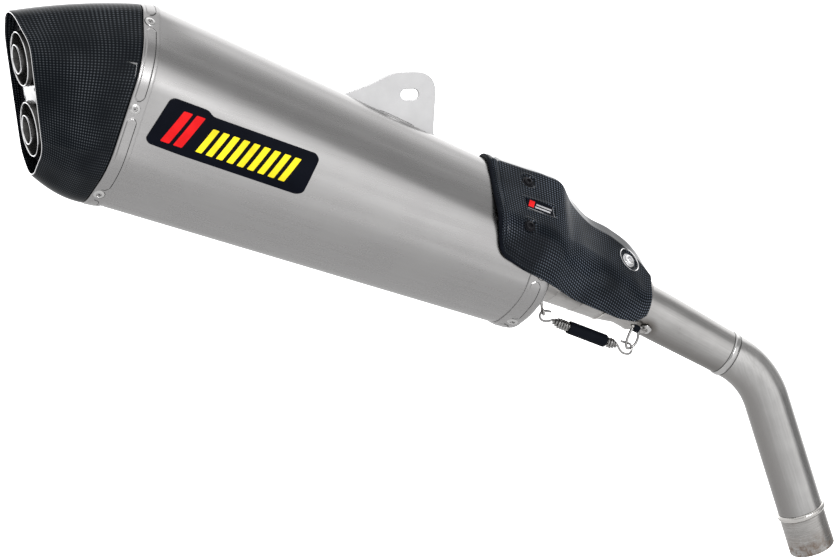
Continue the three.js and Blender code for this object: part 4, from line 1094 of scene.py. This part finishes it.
def hanger():
    back, front = (MUFFLER @ Vector((x, BRACKET_Y, top_at(x, BRACKET_Y))) for x in (220, 340))

    def base(x):
        return back.z + (front.z - back.z) * (x - back.x) / (front.x - back.x) + FOOT + 1.2

    edge = curve_points((-70, base(-70)), [
        (-50, 6.6, -33.5, 13.2), (-20, 21.2, -8, 21.4), (7, 21.4), (26, 20.2, 26.4, 2), (24, -36),
        (25, base(34) + 5, 34, base(34)), (8, base(8)), (4.5, base(4.5) + 3, -2, base(-2) + 3),
        (-24, base(-24) + 3), (-31, base(-31) + 3, -35, base(-35))])
    arc = np.linspace(-np.pi / 2, np.pi / 2, 20)
    end = np.column_stack([SLOT_HALF + SLOT_RADIUS * np.cos(arc), SLOT_RADIUS * np.sin(arc)])
    slot = np.vstack([end, -end])
    place = Matrix.Translation((0, BRACKET_THICKNESS / 2, 0)) @ Matrix.Rotation(-math.pi / 2, 4, "Z")
    plate("bracket", [edge, slot], BRACKET_THICKNESS, 0.7, bracket_titanium, place=place,
          stands_for=["hanger_bracket"], slot="titanium", sharp=14)
    xs = np.linspace(FOOT_BACK, FOOT_FRONT, 26)
    ys = np.linspace(FOOT_INNER, FOOT_OUTER, 12)

    def bulge(y):
        return 1 - ((y - 15) / 7.4) ** 4

    upper = [[(x, y, top_at(x, y, 0.1) + 0.4 + FOOT * 0.8 * bulge(y)) for y in ys] for x in xs]
    under = [[(x, y, top_at(x, y, 0.1) - 0.3) for y in ys[::-1]] for x in xs]
    rings = np.array([u + v for u, v in zip(upper, under)])
    piece("bracket_foot", rings.reshape(-1, 3), capped_faces(*rings.shape[:2]), foot_metal,
          stands_for=["hanger_foot"], slot="titanium")


# ---------- heat shield ----------
SHIELD_STATIONS = [
    (376, 13, [(-20, 76), (-8, 84, 12), (12.5, 80.6, 5), (69, 26, 34), (68, 6)]),
    (381, 13, [(-20, 76), (-8, 84, 12), (12.5, 80.6, 5), (69, 26, 34), (68, -2.5)]),
    (394, 12, [(-20, 76), (-8, 84, 12), (12.5, 80.4, 5), (70, 25, 34), (68.5, -9.5)]),
    (414, 8, [(-20, 75.5), (-8, 83.6, 12), (12.5, 80, 5), (70, 24, 34), (69, -15)]),
    (436, 4, [(-20, 75), (-8, 83.2, 12), (12.5, 79.6, 5), (70, 22, 34), (68.5, -18)]),
    (455, 0, [(-20, 72), (-8, 80.4, 12), (12.5, 75.4, 5), (68, 17, 36), (66, -21.5)]),
    (466, 0, [(-20, 64), (-8, 73, 12), (12.5, 63.4, 5), (65, 14, 38), (61, -24)]),
    (481, 0, [(-20, 54), (-8, 63.4, 12), (12.5, 53, 5), (61.6, 11, 38), (54, -27)]),
    (490, 0, [(-20, 48.4), (-8, 58.4, 12), (12.5, 48.6, 5), (59.2, 8.6, 37), (49.8, -27.7)]),
    (519, 0, [(-20, 42), (-8, 52.4, 12), (12.5, 41.6, 5), (52, 2, 34), (41, -30)]),
    (546, 0, [(-18, 33), (-8, 42.2, 10), (12, 30.8, 5), (45, -4, 28), (33, -31)]),
    (562, 0, [(-17, 20), (-7, 29.5, 9), (12, 21.5, 5), (39, -9, 22), (30, -27)]),
    (568, 0, [(-15, 12), (-6, 22.6, 8), (12, 17.6, 4), (36.4, -8, 18), (30, -21)]),
]
SHIELD_SCREWS = {"upper": (415, 69, 5.2), "lower": (414, 28, 5.2), "front": (539, 26, 6.0)}
DISH_MARGIN = {"upper": 1.2, "lower": 1.2, "front": 4.6}
SHIELD_COLUMNS = 150
SHIELD_BADGE_AT = (426, 48)
SHIELD_BADGE_SLOPE = -0.06
WEAVE_COLUMN = 90  # the weave runs straight along this line of points


def hermite(x, xs, values):
    """A smooth curve through stations, without overshoot at the ends."""
    slope = np.gradient(values, xs, axis=0)
    i = int(np.clip(np.searchsorted(xs, x) - 1, 0, len(xs) - 2))
    h = xs[i + 1] - xs[i]
    t = (x - xs[i]) / h
    return ((2 * t**3 - 3 * t**2 + 1) * values[i] + (t**3 - 2 * t**2 + t) * h * slope[i]
            + (3 * t**2 - 2 * t**3) * values[i + 1] + (t**3 - t**2) * h * slope[i + 1])


def shield_line(x):
    """One line of points over the shield, from its far edge over the top to its lower edge."""
    xs = np.array([station[0] for station in SHIELD_STATIONS], float)
    table = np.array([[lean] + [v for corner in corners for v in (*corner, 0)[:3]]
                      for _, lean, corners in SHIELD_STATIONS], float)
    lean, *values = hermite(x, xs, table)
    corners = np.array(values).reshape(-1, 3)
    path = [corners[0, :2]]
    for i in range(1, len(corners) - 1):
        corner, radius = corners[i, :2], corners[i, 2]
        before, after = corners[i - 1, :2] - corner, corners[i + 1, :2] - corner
        limit = 0.49 * min(np.linalg.norm(before), np.linalg.norm(after))
        before, after = before / np.linalg.norm(before), after / np.linalg.norm(after)
        half_angle = math.acos(np.clip(before @ after, -1, 1)) / 2
        reach = min(radius / math.tan(half_angle), 2 * limit)
        a, b, w = corner + before * reach, corner + after * reach, math.sin(half_angle)
        for t in np.linspace(0, 1, 24):
            # A conic that is close to a circle's arc.
            weights = ((1 - t) ** 2, 2 * w * t * (1 - t), t * t)
            path.append((weights[0] * a + weights[1] * corner + weights[2] * b) / sum(weights))
    path.append(corners[-1, :2])
    yz = resampled(np.array(path), SHIELD_COLUMNS, closed=False)
    share = np.linspace(0, 1, SHIELD_COLUMNS)
    return np.column_stack([x + lean * share**2, NEAR * yz[:, 0], yz[:, 1]])


def grid_normals(grid):
    normal = np.cross(np.gradient(grid, axis=0), np.gradient(grid, axis=1))
    return normal / np.maximum(np.linalg.norm(normal, axis=-1), 1e-9)[..., None]


def bell(d, width):
    """A half-round rise from 0 to width."""
    t = np.clip(d / width, 0, 1)
    return np.sqrt(np.clip(1 - (2 * t - 1) ** 2, 0, 1)) * (d < width)


def shield_place(grid, normals, x, z):
    """The point of the shield's near side at a place along and up, and the direction out of it."""
    far = np.hypot(grid[..., 0] - x, grid[..., 2] - z) + 200 * (grid[..., 1] > -8)
    r, c = np.unravel_index(np.argmin(far), far.shape)
    return grid[r, c], normals[r, c]


def rolled_bead(grid, steps):
    """A bead along the back and lower edges, with the skin sunk beside it. It fades out towards the front."""
    strides = np.linalg.norm(np.diff(grid, axis=0), axis=2)
    back = np.concatenate([np.zeros((1, grid.shape[1])), np.cumsum(strides, 0)])
    low = np.concatenate([np.cumsum(steps[:, ::-1], 1)[:, ::-1], np.zeros((len(grid), 1))], 1)
    fade = 1 - smooth_step((grid[..., 0] - 446) / 14)
    edge = np.minimum(back, np.where(fade > 0, low / np.maximum(fade, 0.05), 99))
    return (1.5 * bell(edge - 0.2, 6.4) - 1.1 * (1 - smooth_step((edge - 6) / 5))) * np.maximum(fade, 0)


def screw_dish(grid, at, radius):
    """A dish round a place on the shield, with a low ridge round it."""
    past = np.linalg.norm(grid - at, axis=-1) - radius
    return -1.7 * (1 - smooth_step(past / 1.8)) + 0.35 * np.exp(-(((past - 2.2) / 0.9) ** 2))


def badge_pocket(grid, at):
    """A slanted four-sided pocket round a place on the near side, with a low ridge round it."""
    along = np.array([1.0, 0, SHIELD_BADGE_SLOPE])
    u = (grid - at) @ along + 0.35 * (grid[..., 2] - at[2])
    v = (grid[..., 2] - at[2]) * 1.3
    inside = np.minimum(16.5 - np.abs(u), 6.6 - np.abs(v))
    depth = -0.9 * smooth_step(inside / 0.9) + 0.3 * np.exp(-(((inside + 0.8) / 0.7) ** 2))
    return np.where(grid[..., 1] < -20, depth, 0)


def shield_screws(places):
    for name, (at, out) in places.items():
        head = SHIELD_SCREWS[name][2]
        place = aimed(out, at - out * 1.5)
        if name == "front":
            socket_screw("shield_screw_front", place, head - 0.4, 3.2, polished, "polished_metal",
                         washer=head + 1.4)
            edge = head + DISH_MARGIN[name] + 1.6
            rim = [(edge + 0.35, 1.0), (edge + 0.4, 1.6), (edge, 1.85), (edge - 0.5, 1.5), (edge - 0.6, 0.9)]
            turned("shield_dish_rim", rim, polished, 72, place=place, slot="polished_metal")
        else:
            socket_screw(f"shield_screw_{name}", place, head - 0.6, 2.6, black_steel, "black_steel",
                         washer=head + 0.7)


def weave_shield(shell, grid, steps):
    """The weave's coordinates: measured along one line of points, and across from it."""
    rows, cols = grid.shape[:2]
    line = np.linalg.norm(np.diff(grid[:, WEAVE_COLUMN], axis=0), axis=1)
    along = np.cumsum(np.concatenate([[0], line]))
    across = np.concatenate([np.zeros((rows, 1)), np.cumsum(steps, 1)], 1)

    def at(vertices):
        places = [divmod(v % (rows * cols), cols) for v in vertices]
        return [(along[r], across[r, c] - across[r, WEAVE_COLUMN]) for r, c in places]

    lay_weave(shell.data, at)


def heat_shield():
    back, front = SHIELD_STATIONS[0][0], SHIELD_STATIONS[-1][0]
    xs = np.concatenate([np.linspace(back, 481, 100), np.linspace(482, front, 80)])
    grid = np.array([shield_line(x) for x in xs])
    normals = -grid_normals(grid)
    steps = np.linalg.norm(np.diff(grid, axis=1), axis=2)
    lift = rolled_bead(grid, steps)
    places = {name: shield_place(grid, normals, x, z) for name, (x, z, _) in SHIELD_SCREWS.items()}
    for name, (at, _) in places.items():
        lift += screw_dish(grid, at, SHIELD_SCREWS[name][2] + DISH_MARGIN[name])
    badge_at, _ = shield_place(grid, normals, *SHIELD_BADGE_AT)
    lift += badge_pocket(grid, badge_at)
    outside = grid + normals * lift[..., None]
    inside = grid - normals * (CARBON - lift[..., None])
    shell = sheet("shield_shell", outside, inside, shield_carbon, stands_for=["heat_shield"],
                  slot="carbon_fibre", sharp=60, weld=False)
    weave_shield(shell, grid, steps)
    shield_screws(places)
    shield_badge(outside, SHIELD_BADGE_AT)
    shield_trim(grid, normals)


def shield_trim(grid, normals):
    """The rubber strip between the shield's back edge and the sleeve, and round under its lower edge."""
    inner = grid - normals * CARBON
    path = list(inner[0, 4:-14:15]) + list(inner[6:60:18, -3])
    path = smooth_path(path, 160)
    shift = np.array([-1.9, 0, 0])
    rod("shield_trim_strip", path + shift, 2.0, rubber, 16, stands_for=["heat_shield_trim"], slot="rubber")


def shield_badge(surface, at):
    """A blank plate in the shield's pocket: black, with a red block, two bright stripes and a bright line."""
    near = (np.abs(surface[..., 0] - at[0]) < 14) & (np.abs(surface[..., 2] - at[1]) < 5)
    near &= surface[..., 1] < -20
    x, y, z = (surface[near][:, k] for k in range(3))

    def terms(x, z):
        return np.stack([np.ones_like(x), x - at[0], z - at[1], (z - at[1]) ** 2], -1)

    fit = np.linalg.lstsq(terms(x, z), y, rcond=None)[0]

    def patch(name, left, right, low, high, lift, look, lean=0.16, **options):
        """A thin four-sided plate, its sides leaning, that lies this far off the pocket's floor."""
        v, u = np.meshgrid(np.linspace(high, low, 6), np.linspace(0, 1, 10), indexing="ij")
        across = left + (right - left) * u - lean * v
        xs, zs = at[0] + across, at[1] + v + SHIELD_BADGE_SLOPE * across
        upper = np.stack([xs, terms(xs, zs) @ fit - lift, zs], -1)
        sheet(name, upper, upper + (0, lift + 0.3, 0), look, slot="badge", **options)

    patch("shield_badge_line", -14.2, 14.5, -4.8, 4.4, 0.2, keyline)
    patch("shield_badge_plate", -14.4, 14.2, -4.3, 4.8, 0.4, badge_black, stands_for=["shield_badge"])
    patch("shield_badge_red", -12.2, -6.6, -2.8, 3.2, 0.6, badge_red, lean=-0.35)
    patch("shield_badge_stripe_1", -4.6, 12.0, 0.2, 1.7, 0.6, keyline, lean=-0.3)
    patch("shield_badge_stripe_2", -5.4, 11.2, -2.4, -0.9, 0.6, keyline, lean=-0.3)


# ---------- sleeve badge ----------
BADGE = [(38, 45), (76, 43), (82, 38.5), (189, 34), (193.5, 29.5), (187.5, -5), (181, -8), (62, -4.5),
         (30, -2.5), (26, 1.5)]


def rounded_loop(points, radius):
    """A closed outline with its corners rounded."""
    loop = []
    points = np.array(points, float)
    for i, corner in enumerate(points):
        before, after = points[i - 1] - corner, points[(i + 1) % len(points)] - corner
        reach = min(radius, 0.45 * np.linalg.norm(before), 0.45 * np.linalg.norm(after))
        a = corner + before / np.linalg.norm(before) * reach
        b = corner + after / np.linalg.norm(after) * reach
        loop.append(curved(a, corner, b, 6))
    return np.vstack(loop)


def sticker(name, loops, lift, thickness, look, slot="badge", **options):
    """A thin plate from outlines of (x, z), cut finely so that it follows the sleeve's near side."""
    made = plate(name, loops, thickness, min(0.12, thickness * 0.4), look, place=WORLD, slot=slot, **options)
    bm = bmesh.new()
    bm.from_mesh(made.data)
    along, up = Vector((0, 1, 0)), Vector((0, 0, 1))
    for axis, lines in ((along, np.arange(20, 200, 12)), (up, np.arange(-9, 47, 4))):
        for line in lines:
            everything = bm.verts[:] + bm.edges[:] + bm.faces[:]
            bmesh.ops.bisect_plane(bm, geom=everything, plane_co=axis * line * MM, plane_no=axis)
    for vertex in bm.verts:
        x, z, out = vertex.co.y / MM, vertex.co.z / MM, vertex.co.x / MM
        y, _ = side_of(x, z)
        vertex.co = (MUFFLER @ Vector((x, NEAR * (y + lift + out), z))) * MM
    bmesh.ops.recalc_face_normals(bm, faces=bm.faces)
    bm.to_mesh(made.data)
    bm.free()


def slanted_bar(x, width, low, high, slant=0.42):
    """A bar that leans forward, its ends parallel to the badge's edges."""
    fall = -0.032
    return [(x + slant * z + k, z + fall * (x + slant * z + k - 100)) for z, k in
            ((low, 0), (low, width), (high, width), (high, 0))]


def sleeve_badge():
    """A black plate with two red bars and a row of yellow stripes."""
    sticker("badge_plate", [rounded_loop(BADGE, 6)], 0.3, 0.9, badge_black, stands_for=["sleeve_badge"])
    red = [rounded_loop(slanted_bar(39, 9, 1, 34), 1.2), rounded_loop(slanted_bar(52, 9, 1, 34), 1.2)]
    sticker("badge_red_blocks", red, 1.16, 0.16, badge_red)
    stripes = [rounded_loop(slanted_bar(74 + 10.6 * i, 6.4, 2, 27), 0.9) for i in range(9)]
    sticker("badge_yellow_stripes", stripes, 1.16, 0.16, badge_yellow)


def carried_over():
    """CAD pieces inside, whose shape is right: each gets its own material."""
    for name, look in (("rear_bulkhead", inner_steel), ("perforated_core", inner_steel), ("packing", wool),
                       ("shield_standoff_upper", inner_steel), ("shield_standoff_lower", inner_steel),
                       ("shield_standoff_front", inner_steel)):
        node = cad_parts[name]
        node.data.materials.clear()
        node.data.materials.append(look)


# ---------- stage, light and camera ----------
CAMERA_AT = (-2.0399, -5.6346, 0.3478)
CAMERA_AZIMUTH, CAMERA_ELEVATION = -20, 5
LENS = 270.7


def camera():
    data = bpy.data.cameras.new("camera")
    data.lens = LENS
    data.sensor_width = 36
    data.sensor_fit = "HORIZONTAL"
    data.clip_end = 100
    obj = bpy.data.objects.new("camera", data)
    obj.location = CAMERA_AT
    obj.rotation_euler = (math.radians(90 - CAMERA_ELEVATION), 0, math.radians(CAMERA_AZIMUTH))
    bpy.context.scene.collection.objects.link(obj)
    bpy.context.scene.camera = obj


def softbox(name, at, towards, size, power):
    data = bpy.data.lights.new(name, "AREA")
    data.shape = "RECTANGLE"
    data.size, data.size_y = size
    data.energy = power
    obj = bpy.data.objects.new(name, data)
    obj.location = at
    obj.rotation_euler = (Vector(towards) - Vector(at)).to_track_quat("-Z", "Y").to_euler()
    bpy.context.scene.collection.objects.link(obj)


FLOOR_HEIGHT = -1.05
FLOOR_RADIUS = 4.2
EDGE_GLOW = 0.36  # the light that the paper gives off at its edge


def stage():
    ring = ring_at(np.array([0, 0, FLOOR_HEIGHT]), FLOOR_RADIUS, np.array([1, 0, 0]), np.array([0, 1, 0]), 96)
    mesh = bpy.data.meshes.new("floor")
    mesh.from_pydata(ring.tolist(), [], [tuple(range(len(ring)))])
    look = Look("floor_paper")
    paper = look.noise(look.node("TexCoord").outputs["Object"], scale=3.0)
    tone = look.ramp(paper, [(0.0, 0.65), (1.0, 0.69)])
    look.set(Base_Color=tone, Roughness=0.9, Emission_Color=(1, 1, 1, 1))
    # The paper brightens towards its edge, so that it runs into the white of the room.
    away = look.vector("LENGTH", look.node("TexCoord").outputs["Object"])
    look.set(Emission_Strength=look.share(away, 0.45 * FLOOR_RADIUS, FLOOR_RADIUS, **{"To Max": EDGE_GLOW}))
    mesh.materials.append(look.material)
    floor = bpy.data.objects.new("floor", mesh)
    bpy.context.scene.collection.objects.link(floor)


def direction(azimuth, elevation):
    a, e = math.radians(azimuth), math.radians(elevation)
    return (math.cos(a) * math.cos(e), math.sin(a) * math.cos(e), math.sin(e))


# A white room, with soft patches of more or less light: azimuth, elevation, full within, none beyond, and
# the brightness there.
ROOM_LIGHT = 1.0
PATCHES = [
    (85, 15, 25, 49, 2.2),
    (-128, -5, 22, 50, 0.6),
    (0, -5, 16, 38, 0.22),
    (0, 25, 18, 32, 0.5),
    (-35, 43, 10, 27, 0.48),
    (46, 46, 11, 31, 2.2),
    (-64, 2, 22, 40, 1.32),
]


STRIP = {"towards": (-83, 19), "distance": 3.5, "size": (0.2, 1.6), "power": 36.0}


def studio():
    """The room's light, as a soft sum of patches over the sky."""
    world = bpy.data.worlds.new("studio")
    bpy.context.scene.world = world
    world.use_nodes = True
    world.node_tree.nodes.clear()
    room = Nodes(world.node_tree)
    way = room.node("TexCoord").outputs["Generated"]
    level = ROOM_LIGHT
    for azimuth, elevation, full, none, brightness in PATCHES:
        angle = room.math("ARCCOSINE", room.vector("DOT_PRODUCT", way, direction(azimuth, elevation)))
        share = room.share(angle, math.radians(none), math.radians(full))
        level = room.node("Mix", {0: share, 2: level, 3: brightness}).outputs[0]
    light = room.node("Background", {"Color": (1, 1, 1, 1), "Strength": level})
    room.node("OutputWorld", {0: light.outputs[0]})
    way_to_strip = Vector(direction(*STRIP["towards"]))
    softbox("strip", way_to_strip * STRIP["distance"], (0, 0, 0), STRIP["size"], STRIP["power"])


# ---------- build ----------
camera()
sleeve()
rear_band()
front_cap()
rivets()
cap_shell()
cap_face()
outlets()
outlet_bridge()
inlet()
link_pipe()
retaining_spring()
spring_anchors()
hanger()
heat_shield()
sleeve_badge()
carried_over()
stage()
studio()
bpy.context.scene.view_settings.view_transform = "Standard"
